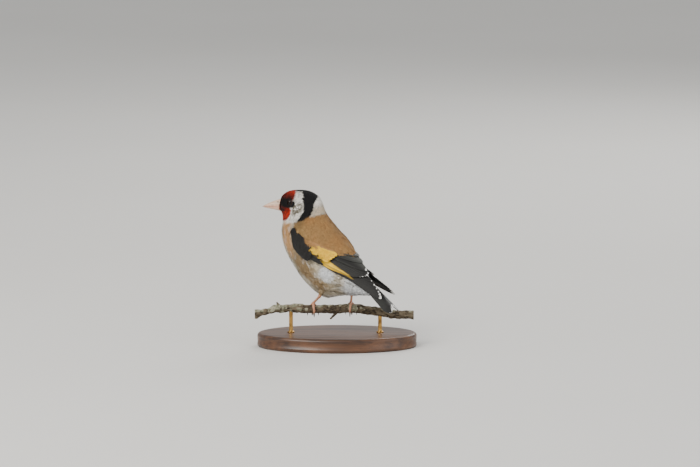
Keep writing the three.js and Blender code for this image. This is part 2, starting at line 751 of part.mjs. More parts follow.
const twigRoom = twigSolid(GAP).translate([0, 0, PERCH_HEIGHT - TWIG_AXIS_Z]);
ROD_AT.forEach((x, i) => stand.add(mesh(`stand_rod_${i + 1}`, makeRod(x, twigRoom), "metal")));

perched.add(bird);
const goldfinch = new THREE.Group();
goldfinch.add(perched, stand);

export default goldfinch;
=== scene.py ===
"""A european goldfinch at life size, as a museum model on a cut twig over a small stand.

The bird's own frame is x forward, y to its left and z up, in millimetres, with heights over
a datum that lies DATUM_DROP under the floor's zero. Its plumage lies on a surface that is
walked by t, from the tail's root to the face, and by the angle round it, from the back.
"""

import math

import bpy
import numpy as np
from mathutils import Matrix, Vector
from mathutils.bvhtree import BVHTree


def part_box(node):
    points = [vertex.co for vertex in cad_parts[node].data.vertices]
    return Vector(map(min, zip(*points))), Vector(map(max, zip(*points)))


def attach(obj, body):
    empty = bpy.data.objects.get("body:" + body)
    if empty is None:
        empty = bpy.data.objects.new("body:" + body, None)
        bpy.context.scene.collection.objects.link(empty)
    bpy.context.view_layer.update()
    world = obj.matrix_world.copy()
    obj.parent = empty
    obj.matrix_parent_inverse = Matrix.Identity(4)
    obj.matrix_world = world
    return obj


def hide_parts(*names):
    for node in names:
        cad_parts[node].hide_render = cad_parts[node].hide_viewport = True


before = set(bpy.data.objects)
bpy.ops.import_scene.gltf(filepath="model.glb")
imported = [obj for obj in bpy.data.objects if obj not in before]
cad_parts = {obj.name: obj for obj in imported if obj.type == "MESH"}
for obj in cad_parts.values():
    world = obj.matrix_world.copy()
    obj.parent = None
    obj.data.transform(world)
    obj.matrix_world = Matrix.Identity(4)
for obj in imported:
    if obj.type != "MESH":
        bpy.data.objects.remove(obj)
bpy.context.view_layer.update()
MM = 0.001
TURN = 2 * math.pi

# The bird's frame
BODY_TURN = math.radians(32)
HEAD_TURN = math.radians(25)
BIRD_AT = (-8.0, 3.0)
TWIG_AXIS_Z = 34.0
PERCH_HEIGHT = 24.0
DATUM_DROP = TWIG_AXIS_Z - PERCH_HEIGHT
GAP = 0.3

# The plumage's outline: the middle of the back (x, z), the middle of the belly (x, z), the
# half width, and the share of the head's turn, from the tail's root to the face
SECTIONS = np.array([
    [-29.6, 57.6, -32.4, 45.6, 5.0, 0],
    [-25.4, 63.8, -24.8, 45.0, 8.0, 0],
    [-20.4, 72.4, -13.2, 43.8, 11.2, 0],
    [-14.2, 81.4, -1.2, 42.2, 13.8, 0],
    [-8.5, 86.6, 12.0, 50.4, 15.0, 0],
    [-4.0, 91.3, 21.4, 61.2, 15.0, 0],
    [-0.4, 95.2, 28.3, 71.9, 14.2, 0],
    [1.8, 99.0, 31.1, 81.8, 12.4, 0.15],
    [3.4, 102.8, 30.4, 89.4, 10.4, 0.45],
    [6.1, 106.8, 30.2, 93.4, 9.3, 0.75],
    [11.8, 110.2, 30.6, 95.6, 8.7, 0.95],
    [19.0, 111.1, 31.0, 96.6, 8.2, 1],
    [26.0, 110.2, 31.2, 97.4, 7.1, 1],
    [30.2, 107.4, 31.4, 98.0, 5.4, 1],
    [31.4, 104.6, 31.5, 98.6, 3.4, 1],
])
LAST = len(SECTIONS) - 1
NECK = np.array([16.6, 0.0, 0.0])
WIDEST = 0.53
ROOF = 0.24

# The shoulder feathers' lip over the wing: its height, where it ends in degrees from the back,
# how it grows up to there, and how it drops past it
LIP_HEIGHT = 2.4
LIP_AT = np.array([18.0, 46, 61, 69, 74, 78])
LIP_FADE = 32.0
LIP_EDGE = 16.0


# Curves and noise

def smooth(x):
    x = np.clip(x, 0, 1)
    return x * x * (3 - 2 * x)


def mix(a, b, t):
    return a + (b - a) * t


def through(values, t, straight=False):
    """Catmull-Rom through rows of values, at t = 0 to their count less 1."""
    values = np.asarray(values, float)
    t = np.asarray(t, float)
    last = len(values) - 1
    inside = np.clip(t, 0, last) if straight else t
    i = np.clip(np.floor(inside).astype(int), 0, last - 1)
    f, over = inside - i, t - inside
    if values.ndim > 1:
        f, over = f[..., None], over[..., None]
    p0, p1 = values[np.maximum(i - 1, 0)], values[i]
    p2, p3 = values[i + 1], values[np.minimum(i + 2, last)]
    bend = (2 * p0 - 5 * p1 + 4 * p2 - p3) * f**2 + (3 * p1 - p0 - 3 * p2 + p3) * f**3
    curve = p1 + 0.5 * ((p2 - p0) * f + bend)
    if not straight:
        return curve
    return curve + np.where(over < 0, values[1] - values[0], values[-1] - values[-2]) * over


def unit(v):
    return v / np.maximum(np.linalg.norm(v, axis=-1, keepdims=True), 1e-12)


def ring_of(count):
    """Angles once round, the first not repeated, along the last of two axes."""
    return np.linspace(0, TURN, count, endpoint=False)[None, :]


RANDOM_TABLE = np.random.default_rng(11).random(8192)
HASH_FACTORS = (73856093, 19349663, 83492791)
SEED_STEP = 7919


def noise(points, size, seed=0):
    """Smooth noise from -1 to 1 in cells of that size."""
    grid = np.asarray(points, float) / size
    cell = np.floor(grid).astype(np.int64)
    f = grid - cell
    f = f * f * (3 - 2 * f)
    total = np.zeros(grid.shape[:-1])
    for corner in np.ndindex(2, 2, 2):
        x, y, z = (((cell[..., k] + corner[k]) * HASH_FACTORS[k]) for k in range(3))
        weight = np.prod(np.where(corner, f, 1 - f), axis=-1)
        total += RANDOM_TABLE[((x ^ y ^ z) + seed * SEED_STEP) & (len(RANDOM_TABLE) - 1)] * weight
    return 2 * total - 1


def layered_noise(points, size, octaves=3, seed=0):
    total = sum(noise(points, size / 2**k, seed + k) / 2**k for k in range(octaves))
    return total / (2 - 0.5 ** (octaves - 1))


def linear(red, green, blue):
    """A colour of 0 to 255 as the eye sees it, in linear light."""
    c = np.array([red, green, blue]) / 255
    return np.where(c <= 0.04045, c / 12.92, ((c + 0.055) / 1.055) ** 2.4)


# The bird's surfaces

def turned(points, angle):
    """Points turned about the z axis."""
    c, s = np.cos(angle), np.sin(angle)
    x, y = points[..., 0], points[..., 1]
    return np.stack([x * c - y * s, x * s + y * c, points[..., 2]], -1)


def turn_head(points, share=1.0):
    return turned(points - NECK, HEAD_TURN * share) + NECK


def to_world(points):
    """From the bird's frame in millimetres to the part's frame in metres."""
    return (turned(points, math.pi - BODY_TURN) + (*BIRD_AT, -DATUM_DROP)) * MM


def to_bird(point):
    """From the twig's frame back to the bird's."""
    return turned(point - (*BIRD_AT, 0), BODY_TURN - math.pi)


def perch_to_world(points):
    return (np.asarray(points, float) - (0, 0, DATUM_DROP)) * MM


def flesh(t, angle, over_wing):
    """A point of the outline before the head's turn, and the share of that turn."""
    back_x, back_z, belly_x, belly_z, half_width, share = np.moveaxis(through(SECTIONS, t, True), -1, 0)
    rise, around = np.cos(angle), np.sin(angle)
    past = np.degrees(np.arccos(np.clip(rise, -1, 1))) - through(LIP_AT, t - 2)
    drop = 1.0 if over_wing else 1 - smooth(past / LIP_EDGE)
    lip = np.where(past < 0, np.exp(-((past / LIP_FADE) ** 2)), drop)
    lip = lip * LIP_HEIGHT * smooth((t - 1.6) / 0.9) * (1 - smooth((t - 6.0) / 1.5))
    reach = np.abs(rise)
    x = mix(mix(back_x, belly_x, WIDEST), np.where(rise > 0, back_x, belly_x), reach)
    z = mix(mix(back_z, belly_z, WIDEST), np.where(rise > 0, back_z, belly_z), reach)
    roof = ROOF * np.maximum(0, rise) * smooth((4.5 - t) / 3.5)
    y = (half_width * (1 - roof) + lip) * around
    return np.stack([x, y, z + lip * np.maximum(0, rise)], -1), np.clip(share, 0, 1)


def between(grids, i, j):
    """The values of grids between their points, at rows i and columns j."""
    rows, columns = grids[0].shape[:2]
    i0 = np.clip(np.floor(i).astype(int), 0, rows - 2)
    j0 = np.clip(np.floor(j).astype(int), 0, columns - 2)
    found = []
    for grid in grids:
        fi, fj = ((share[..., None] if grid.ndim > 2 else share) for share in (i - i0, j - j0))
        low = grid[i0, j0] * (1 - fj) + grid[i0, j0 + 1] * fj
        high = grid[i0 + 1, j0] * (1 - fj) + grid[i0 + 1, j0 + 1] * fj
        found.append(low * (1 - fi) + high * fi)
    return found


class Surface:
    """The outline on a fine grid, with its normals, to look places up in."""

    T_FROM, T_TO = -2.5, LAST + 0.6

    def __init__(self, over_wing=False):
        self.t = np.linspace(self.T_FROM, self.T_TO, 600)
        self.angle = np.linspace(-math.pi, math.pi, 721)
        t, angle = np.meshgrid(self.t, self.angle, indexing="ij")
        self.own, share = flesh(t, angle, over_wing)
        self.place = turn_head(self.own, share)
        by_t = np.gradient(self.place, self.t, axis=0)
        by_angle = np.gradient(self.place, self.angle, axis=1)
        self.normal = unit(np.cross(by_t, by_angle))
        self.speed_t = np.linalg.norm(by_t, axis=-1)
        self.speed_angle = np.linalg.norm(by_angle, axis=-1)

    def look_up(self, t, angle, *names):
        """The grids of these names, at places between their points."""
        i = (np.clip(t, self.T_FROM, self.T_TO) - self.T_FROM) / (self.t[1] - self.t[0])
        j = (angle + math.pi) % TURN / (self.angle[1] - self.angle[0])
        return between([getattr(self, name) for name in names], i, j)

    def bake_place(self, t, angle):
        """The unwrap of the skin's own shape: round it across, and along it up."""
        return np.stack([0.02 + 0.96 * ((angle / TURN) % 1.0),
                         0.03 + 0.94 * (t - self.T_FROM) / (self.T_TO - self.T_FROM)], -1)


BODY = Surface()
CLOAK = Surface(over_wing=True)

# The wing: a bowed shell over the flank, walked by p, from the wrist along it, and q, up
# across it, with h the height over it
WING_LENGTH = 76.0
WING_LINE = np.array([
    [16.8, 13.4, 86.8],
    [5.5, 17.0, 79.2],
    [-11.6, 13.4, 71.0],
    [-27.2, 7.4, 61.9],
    [-47.1, 4.6, 47.4],
])
WING_OUT = np.array([
    [0.45, 0.90, 0.05],
    [0.10, 0.97, 0.18],
    [-0.12, 0.82, 0.50],
    [-0.24, 0.66, 0.70],
    [-0.34, 0.66, 0.66],
])
WING_BOW = 19.0
FAR_WING_SHIFT = np.array([
    [0, 0, 0],
    [0, 0, 0],
    [0.6, 0.3, -0.4],
    [1.2, 0.5, -0.9],
    [-5.2, 0, 2.0],
])
WING_STEPS = len(WING_LINE) - 1


def wing_place(p, q, h, side):
    p, q, h = np.broadcast_arrays(p, q, h)
    t = WING_STEPS * p / WING_LENGTH
    along = unit(through(WING_LINE, t + 0.05) - through(WING_LINE, t - 0.05))
    out = through(WING_OUT, np.minimum(t, WING_STEPS))
    out = unit(out - along * np.sum(out * along, -1, keepdims=True))
    up = np.cross(out, along)
    up = up * np.where(up[..., 2:] < 0, -1, 1)
    turn = (q / WING_BOW)[..., None]
    reach = (WING_BOW + h)[..., None]
    point = through(WING_LINE, t) + up * reach * np.sin(turn) + out * (reach * np.cos(turn) - WING_BOW)
    if side > 0:
        return point
    return point * (1, -1, 1) + through(FAR_WING_SHIFT, np.minimum(t, WING_STEPS))


TAIL_SHOWN = 38.0
TAIL_SLOPE = math.radians(38)
TAIL_FORK = 3.6
TAIL_CROWN = 0.03
TAIL_ROOT = np.array([-25.4, 0.0, 61.0])
TAIL_ALONG = np.array([-math.cos(TAIL_SLOPE), 0, -math.sin(TAIL_SLOPE)])
TAIL_UP = np.array([-math.sin(TAIL_SLOPE), 0, math.cos(TAIL_SLOPE)])


def tail_place(p, q, h, side=1):
    """The tail's slightly domed shell, the same for either side."""
    p, q, h = (v[..., None] for v in np.broadcast_arrays(p, q, h))
    return TAIL_ROOT + TAIL_ALONG * p + TAIL_UP * (h - TAIL_CROWN * q * q) + q * np.array([0, 1, 0])


# Materials

def node(tree, kind, **settings):
    made = tree.nodes.new(kind)
    for name, value in settings.items():
        if name in made.inputs:
            made.inputs[name].default_value = value
        else:
            setattr(made, name, value)
    return made


def new_material(name, **principled):
    """A material with a Principled shader, whose plain sockets are set by name."""
    material = bpy.data.materials.new(name)
    material.use_nodes = True
    tree = material.node_tree
    shader = tree.nodes["Principled BSDF"]
    for socket, value in principled.items():
        shader.inputs[socket.replace("_", " ")].default_value = value
    return material, tree, shader


def millimetres(tree, scale=(1, 1, 1)):
    """Object coordinates in millimetres, times a scale."""
    coordinates = node(tree, "ShaderNodeTexCoord")
    mapping = node(tree, "ShaderNodeMapping", Scale=[s / MM for s in scale])
    tree.links.new(coordinates.outputs["Object"], mapping.inputs["Vector"])
    return mapping.outputs["Vector"]


def noise_node(tree, vector, scale, detail=3.0, roughness=0.5):
    made = node(tree, "ShaderNodeTexNoise", Scale=scale, Detail=detail, Roughness=roughness)
    tree.links.new(vector, made.inputs["Vector"])
    return made.outputs["Fac"]


def remap(tree, value, low, high, to_low=0.0, to_high=1.0):
    made = node(tree, "ShaderNodeMapRange", clamp=True)
    for socket, number in (("From Min", low), ("From Max", high), ("To Min", to_low), ("To Max", to_high)):
        made.inputs[socket].default_value = number
    tree.links.new(value, made.inputs["Value"])
    return made.outputs["Result"]


def blend_colour(tree, a, b, factor, way="MIX"):
    """Two colours mixed. Each, and the factor, is a socket or a plain value."""
    made = node(tree, "ShaderNodeMix", data_type="RGBA", blend_type=way)
    colours = [s for s in made.inputs if s.type == "RGBA"]
    for socket, value in ((made.inputs[0], factor), (colours[0], a), (colours[1], b)):
        if isinstance(value, bpy.types.NodeSocket):
            tree.links.new(value, socket)
        else:
            socket.default_value = value if socket.type == "VALUE" else (*value, 1)
    return next(s for s in made.outputs if s.type == "RGBA")


def bump(tree, shader, height, strength, distance_mm):
    made = node(tree, "ShaderNodeBump", Strength=strength, Distance=distance_mm * MM)
    tree.links.new(height, made.inputs["Height"])
    tree.links.new(made.outputs["Normal"], shader.inputs["Normal"])


def math_node(tree, operation, *inputs):
    """A Math node whose inputs are sockets or numbers."""
    made = node(tree, "ShaderNodeMath", operation=operation)
    for socket, value in zip(made.inputs, inputs):
        if isinstance(value, bpy.types.NodeSocket):
            tree.links.new(value, socket)
        else:
            socket.default_value = value
    return made.outputs[0]


def shade_tint(tree, shader, light):
    """The colour painted on the mesh, times this light, as the shader's own."""
    grey = node(tree, "ShaderNodeCombineColor")
    for channel in grey.inputs:
        tree.links.new(light, channel)
    painted = node(tree, "ShaderNodeAttribute", attribute_name="tint").outputs["Color"]
    colour = blend_colour(tree, painted, grey.outputs[0], 1.0, "MULTIPLY")
    tree.links.new(colour, shader.inputs["Base Color"])


def feather_material(name, roughness, sheen, fine):
    """Plumage: the colour painted on the mesh, broken up from barb to barb."""
    material, tree, shader = new_material(
        name, Roughness=roughness, Sheen_Weight=sheen, Sheen_Roughness=0.5, Specular_IOR_Level=0.22
    )
    place = millimetres(tree)
    broad = remap(tree, noise_node(tree, place, 0.55, 3), 0.25, 0.75, 0.90, 1.08)
    narrow = remap(tree, noise_node(tree, place, fine, 2), 0.25, 0.75, 0.84, 1.12)
    shade_tint(tree, shader, math_node(tree, "MULTIPLY", broad, narrow))
    bump(tree, shader, noise_node(tree, place, fine * 1.6, 2), 0.35, 0.05)
    return material


def vane_material(name, roughness):
    """Flight and tail feathers: barbs run slantwise out from the shaft on both sides."""
    material, tree, shader = new_material(
        name, Specular_IOR_Level=0.28, Sheen_Weight=0.03, Sheen_Roughness=0.4
    )
    shape = node(tree, "ShaderNodeUVMap", uv_map="Vane")
    split = node(tree, "ShaderNodeSeparateXYZ")
    tree.links.new(shape.outputs["UV"], split.inputs[0])
    aside = math_node(tree, "ABSOLUTE", split.outputs[1])
    barbs = node(tree, "ShaderNodeCombineXYZ")
    tree.links.new(math_node(tree, "MULTIPLY_ADD", aside, -1.2, split.outputs[0]), barbs.inputs[0])
    ribs = noise_node(tree, barbs.outputs[0], 3.4, 2, 0.7)
    worn = noise_node(tree, millimetres(tree), 0.6, 3)
    shade_tint(tree, shader, remap(tree, ribs, 0.3, 0.7, 0.82, 1.2))
    gloss = remap(tree, worn, 0.3, 0.7, roughness - 0.08, roughness + 0.1)
    tree.links.new(gloss, shader.inputs["Roughness"])
    bump(tree, shader, ribs, 0.5, 0.06)
    return material


def finish(tree, shader, colour, gloss):
    """Links the shader's colour and its roughness."""
    tree.links.new(colour, shader.inputs["Base Color"])
    tree.links.new(gloss, shader.inputs["Roughness"])


def tinted_material(name, bump_scale, bump_mm, roughness_range, **principled):
    """A painted colour with fine noise in its relief and its gloss."""
    material, tree, shader = new_material(name, **principled)
    place = millimetres(tree)
    relief = noise_node(tree, place, bump_scale, 4)
    shade_tint(tree, shader, remap(tree, noise_node(tree, place, bump_scale * 0.4, 3), 0.3, 0.7, 0.88, 1.1))
    tree.links.new(remap(tree, relief, 0.3, 0.7, *roughness_range), shader.inputs["Roughness"])
    bump(tree, shader, relief, 0.4, bump_mm)
    return material


def wood_material():
    material, tree, shader = new_material("base_wood", Coat_Weight=0.25, Coat_Roughness=0.25)
    grain = noise_node(tree, millimetres(tree, (0.012, 0.22, 0.35)), 1.0, 6, 0.6)
    pores = noise_node(tree, millimetres(tree, (0.06, 1.6, 1.6)), 1.0, 3, 0.6)
    dark, warm, pore = linear(58, 36, 23), linear(112, 73, 45), linear(40, 25, 17)
    colour = blend_colour(tree, dark, warm, remap(tree, grain, 0.35, 0.66))
    colour = blend_colour(tree, colour, pore, remap(tree, pores, 0.58, 0.72, 0, 0.6))
    finish(tree, shader, colour, remap(tree, pores, 0.3, 0.7, 0.34, 0.5))
    bump(tree, shader, pores, 0.25, 0.05)
    return material


def brass_material():
    material, tree, shader = new_material("rod_brass", Metallic=1.0)
    brushed = noise_node(tree, millimetres(tree, (3, 3, 0.15)), 1.0, 3)
    aged = remap(tree, noise_node(tree, millimetres(tree), 0.35, 4), 0.45, 0.7)
    colour = blend_colour(tree, linear(196, 152, 84), linear(140, 104, 58), aged)
    finish(tree, shader, colour, remap(tree, brushed, 0.3, 0.7, 0.22, 0.42))
    bump(tree, shader, brushed, 0.2, 0.02)
    return material


def floor_material():
    material, tree, shader = new_material("floor", Specular_IOR_Level=0.2)
    cloud = noise_node(tree, millimetres(tree), 0.004, 3)
    colour = blend_colour(tree, linear(228, 227, 223), linear(233, 232, 229), cloud)
    finish(tree, shader, colour, remap(tree, cloud, 0, 1, 0.75, 0.85))
    return material


PLUMAGE = feather_material("plumage", 0.84, 0.08, 5.0)
WING_COAT = feather_material("wing_plumage", 0.62, 0.08, 5.0)
VANES = vane_material("vanes", 0.46)
BILL = tinted_material("bill_horn", 1.2, 0.03, (0.28, 0.42), Subsurface_Weight=0.12, Subsurface_Scale=0.0006)
EYE = tinted_material("eye_ball", 3.0, 0.0003, (0.03, 0.05), Specular_IOR_Level=0.22)
LID = tinted_material("lid_skin", 6.0, 0.05, (0.45, 0.65))
LEG = tinted_material("leg_skin", 3.0, 0.05, (0.36, 0.55), Subsurface_Weight=0.1, Subsurface_Scale=0.0005)
CLAW = tinted_material("claw_horn", 2.0, 0.02, (0.25, 0.4))
BARK = tinted_material("bark", 2.6, 0.18, (0.78, 0.95), Specular_IOR_Level=0.25)
WOOD = wood_material()
BRASS = brass_material()


# Making meshes

SEAM_JUMP = 0.6


class Piece:
    """Points, quads, colours and two kinds of map, gathered until they become one object."""

    def __init__(self):
        self.points, self.quads, self.map_quads = [], [], []
        self.tints, self.bake, self.vane = [], [], []
        self.count = 0

    def add(self, points, quads, tint, bake=None, vane=None, map_quads=None):
        """points in metres; tint, bake and vane have a row for each point.

        map_quads names the points whose place on the maps each quad's corners take.
        """
        points = np.asarray(points, float).reshape(-1, 3)
        quads = np.asarray(quads, int).reshape(-1, 4)
        self.points.append(points)
        self.quads.append(quads + self.count)
        self.map_quads.append((quads if map_quads is None else map_quads) + self.count)
        self.tints.append(np.broadcast_to(np.asarray(tint, float), points.shape).reshape(-1, 3))
        for rows, given in ((self.bake, bake), (self.vane, vane)):
            rows.append(np.zeros((len(points), 2)) if given is None else np.asarray(given).reshape(-1, 2))
        self.count += len(points)

    def add_rings(self, rings, tint, place=to_world, bake=None, ends=None):
        """A closed tube through rings in millimetres, with colours for them and for its ends."""
        points, quads = closed_rings(rings)
        tint = capped(np.broadcast_to(tint, rings.shape))
        if ends is not None:
            tint[-2:] = ends
        self.add(place(points), quads, tint, bake)

    def build(self, name, material, slot, replaces=(), maps=()):
        """The object. maps are the names of the maps it has, out of OFBake and Vane."""
        points = np.concatenate(self.points)
        quads, map_quads = np.concatenate(self.quads), np.concatenate(self.map_quads)
        triangle = quads[:, 2] == quads[:, 3]
        fours, threes = int(np.sum(~triangle)), int(np.sum(triangle))
        corners, map_corners = (
            np.concatenate([rows[~triangle].ravel(), rows[triangle][:, :3].ravel()])
            for rows in (quads, map_quads)
        )
        starts = np.concatenate([np.arange(fours) * 4, fours * 4 + np.arange(threes) * 3])
        face = np.repeat(np.arange(fours + threes), np.repeat([4, 3], [fours, threes]))
        mesh = bpy.data.meshes.new(name)
        mesh.vertices.add(len(points))
        mesh.vertices.foreach_set("co", points.astype(np.float32).ravel())
        mesh.loops.add(len(corners))
        mesh.loops.foreach_set("vertex_index", corners.astype(np.int32))
        mesh.polygons.add(len(starts))
        mesh.polygons.foreach_set("loop_start", starts.astype(np.int32))
        mesh.polygons.foreach_set("use_smooth", np.ones(len(starts), bool))
        mesh.update(calc_edges=True)
        tint = mesh.attributes.new("tint", "FLOAT_COLOR", "POINT")
        colours = np.ones((len(points), 4), np.float32)
        colours[:, :3] = np.concatenate(self.tints)
        tint.data.foreach_set("color", colours.ravel())
        for map_name in maps:
            rows = self.bake if map_name == "OFBake" else self.vane
            uv = np.concatenate(rows)[map_corners].astype(np.float32)
            if map_name == "OFBake":
                uv = close_seam(uv, face, fours + threes)
            mesh.uv_layers.new(name=map_name).uv.foreach_set("vector", uv.ravel())
        mesh.materials.append(material)
        made = bpy.data.objects.new(name, mesh)
        bpy.context.scene.collection.objects.link(made)
        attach(made, "root")
        if replaces:
            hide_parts(*replaces)


def close_seam(uv, face, count):
    """Where a face crosses the unwrap's seam, its near side goes on past the far one."""
    low, high = np.ones(count, np.float32), np.zeros(count, np.float32)
    np.minimum.at(low, face, uv[:, 0])
    np.maximum.at(high, face, uv[:, 0])
    crosses = (high - low > SEAM_JUMP)[face] & (uv[:, 0] < 0.1)
    uv[crosses, 0] += 0.96
    return uv


def in_box(box, across, up):
    """Shares of 0 to 1 across and up, placed in a box (left, low, right, high) of a map."""
    left, low, right, high = box
    return np.stack([left + (right - left) * across, low + (high - low) * up], -1)


def ring_map(box, rows, sides):
    """The map of closed_rings: along the rings across, and round them up."""
    across, up = np.meshgrid(np.linspace(0, 1, rows), np.linspace(0, 1, sides), indexing="ij")
    rings = in_box(box, across, up).reshape(-1, 2)
    return np.concatenate([rings, in_box(box, np.array([0, 1]), np.array([0.5, 0.5]))])


def capped(rows):
    """A row for each point of closed_rings: the two end points take the first and the last."""
    rows = rows.reshape(-1, rows.shape[-1])
    return np.concatenate([rows, rows[:1], rows[-1:]])


def grid_quads(rows, columns, around=False):
    """Quads of a grid of points, row by row. With around, the last column meets the first."""
    wide = columns if around else columns - 1
    i, j = np.meshgrid(np.arange(rows - 1), np.arange(wide), indexing="ij")
    k = (j + 1) % columns
    quads = [i * columns + j, i * columns + k, (i + 1) * columns + k, (i + 1) * columns + j]
    return np.stack(quads, -1).reshape(-1, 4)


def closed_rings(rings):
    """A closed tube through rings of points (rows, sides, 3), each end drawn in to a point."""
    rows, sides = rings.shape[:2]
    points = np.concatenate([rings.reshape(-1, 3), rings[:1].mean(1), rings[-1:].mean(1)])
    j = np.arange(sides)
    k = (j + 1) % sides
    first, last = np.full(sides, rows * sides), np.full(sides, rows * sides + 1)
    at = (rows - 1) * sides
    start, end = np.stack([k, j, first, first], -1), np.stack([at + j, at + k, last, last], -1)
    return points, np.concatenate([grid_quads(rows, sides, True), start, end])


def tube(path, radii, sides, hint=(0, 0, 1), relief=None):
    """Rings round a path, turned as little as can be from one to the next, first by hint.

    relief(s, angle) scales the radius, with s the share of the path.
    """
    along = unit(np.gradient(path, axis=0))
    aside = [np.cross(np.asarray(hint, float), along[0])]
    for direction in along:
        aside.append(unit(aside[-1] - direction * (aside[-1] @ direction)))
    aside = np.array(aside[1:])
    up = np.cross(along, aside)
    angle = ring_of(sides)
    r = np.asarray(radii)[:, None] * np.ones(sides)
    if relief is not None:
        r = r * relief(np.linspace(0, 1, len(path))[:, None], angle)
    c, d = (r * np.cos(angle))[..., None], (r * np.sin(angle))[..., None]
    return path[:, None, :] + aside[:, None, :] * c + up[:, None, :] * d


# The markings

BROWN = linear(158, 122, 77)
WARM_BROWN = linear(169, 124, 75)
OLIVE_BROWN = linear(156, 130, 84)
TAN = linear(208, 160, 106)
FLANK_BROWN = linear(142, 116, 78)
CREAM = linear(214, 203, 178)
WHITE = linear(240, 236, 228)
# a white with a cool blue-grey tint, partly painted shade as white feathers take it in shade
COOL_WHITE = linear(226, 229, 232)
TIP_WHITE = linear(250, 248, 244)
GREY_WHITE = linear(178, 174, 160)
NAPE_BUFF = linear(206, 184, 152)
MASK_BROWN = linear(48, 20, 15)
SMUDGE = linear(84, 76, 56)
BLACK = linear(20, 19, 20)
WING_BLACK = linear(38, 37, 36)
WING_GREY = linear(76, 77, 73)
RED = linear(196, 46, 12)
DARK_RED = linear(104, 20, 10)
YELLOW = linear(250, 202, 52)
DEEP_YELLOW = linear(226, 164, 30)


def spot(x, y, centre, reach, tilt=0.0, soft=0.35):
    """1 inside an ellipse, falling to 0 over soft of its reach."""
    a = math.radians(tilt)
    dx, dy = x - centre[0], y - centre[1]
    u = (dx * math.cos(a) + dy * math.sin(a)) / reach[0]
    v = (-dx * math.sin(a) + dy * math.cos(a)) / reach[1]
    return 1 - smooth((np.sqrt(u * u + v * v) - (1 - soft / 2)) / soft)


def band(x, low, high, soft):
    """1 between low and high, with soft edges."""
    return smooth((x - low) / soft + 0.5) * (1 - smooth((x - high) / soft + 0.5))


def paint(colour, *layers):
    """A colour with layers over it in turn: a share of 0 to 1 and the colour it turns to."""
    for share, over in layers:
        share = np.asarray(share)[..., None]
        colour = colour * (1 - share) + over * share
    return colour


def mantle_colour(own, t, aside):
    """Warm brown, greener on the sides of the back, each patch a little its own shade."""
    return paint(
        BROWN,
        (smooth(0.5 + layered_noise(own, 6.0, 3, 5)), WARM_BROWN),
        (0.5 * smooth((aside - 48) / 25) * smooth((t - 4.5) / 1.5), OLIVE_BROWN),
        (0.6 * smooth((1.75 - t) / 0.4) * (1 - smooth((aside - 50) / 15)), CREAM),
    )


# How far from the middle of the back its brown reaches, in degrees, by t
BACK_EDGE = ([1.0, 2.5, 4.0, 5.5, 6.4, 7.4], [62, 64, 74, 80, 88, 92])


def body_colour(t, angle, own):
    """The body's markings by place: brown above, tan on the breast's sides, whitish below, the white by the
    wing cool-tinted with painted shade.
    """
    aside = np.degrees(np.abs((angle + math.pi) % TURN - math.pi)) + 4 * noise(own, 3.0, 2)
    t = t + 0.10 * noise(own, 3.5, 9)

    def patch(centre, reach, soft):
        return spot(t, aside, centre, reach, soft=soft)

    streaks = layered_noise(np.stack([t * 2.2, aside / 5.5, 0 * t], -1), 1.0, 3, 6)
    long_streaks = smooth(3.0 * noise(np.stack([t * 0.9, aside / 5.0, 0 * t], -1), 1.0, 12) - 0.7)
    flank = np.maximum(patch((4.3, 114), (1.1, 20), 0.9), patch((3.2, 124), (0.7, 15), 0.9))
    return paint(
        CREAM,
        (smooth(0.4 + layered_noise(own, 5.0, 3, 8)), GREY_WHITE),
        (smooth((aside - 146) / 16), WHITE),
        (0.95 * patch((7.0, 120), (1.9, 21), 0.5), TAN),
        (0.8 * patch((7.2, 82), (1.6, 9), 0.7), CREAM),
        (0.92 * flank, FLANK_BROWN),
        (0.35 * patch((2.2, 104), (0.9, 18), 0.9), FLANK_BROWN),
        (0.4 * smooth(streaks * 1.6) * (1 - smooth((aside - 150) / 15)), FLANK_BROWN * 0.8),
        (0.45 * smooth(-streaks * 1.6), WHITE),
        # white feathers under the wing and on the rump's sides: partly their own white, partly painted shade
        # in their cool blue-grey tint
        (0.95 * patch((2.85, 94), (0.5, 14), 0.7), COOL_WHITE),
        (0.95 * smooth((2.0 - t) / 0.6) * smooth((aside - 58) / 12), COOL_WHITE),
        (0.55 * long_streaks * band(t, 0.6, 2.4, 0.6) * (1 - smooth((aside - 140) / 15)), SMUDGE),
        (1 - smooth((aside - np.interp(t, *BACK_EDGE)) / 8 + 0.5), mantle_colour(own, t, aside)),
    )


# The black band's front and back edges, x at heights COLLAR_STEP apart from COLLAR_FOOT up, and
# the head's lower edge, its height by x
BAND_FRONT = np.array([15.0, 13.6, 13.2, 15.0, 16.0, 17.2])
BAND_BACK = np.array([9.8, 6.9, 6.4, 7.3, 6.6, 6.0])
COLLAR_FOOT, COLLAR_STEP = 91.5, 4.0
HEAD_EDGE = ([-4, 2, 6, 9, 13, 19, 24, 32], [97.5, 96.8, 96.0, 94.2, 92.2, 91.4, 91.2, 91.0])


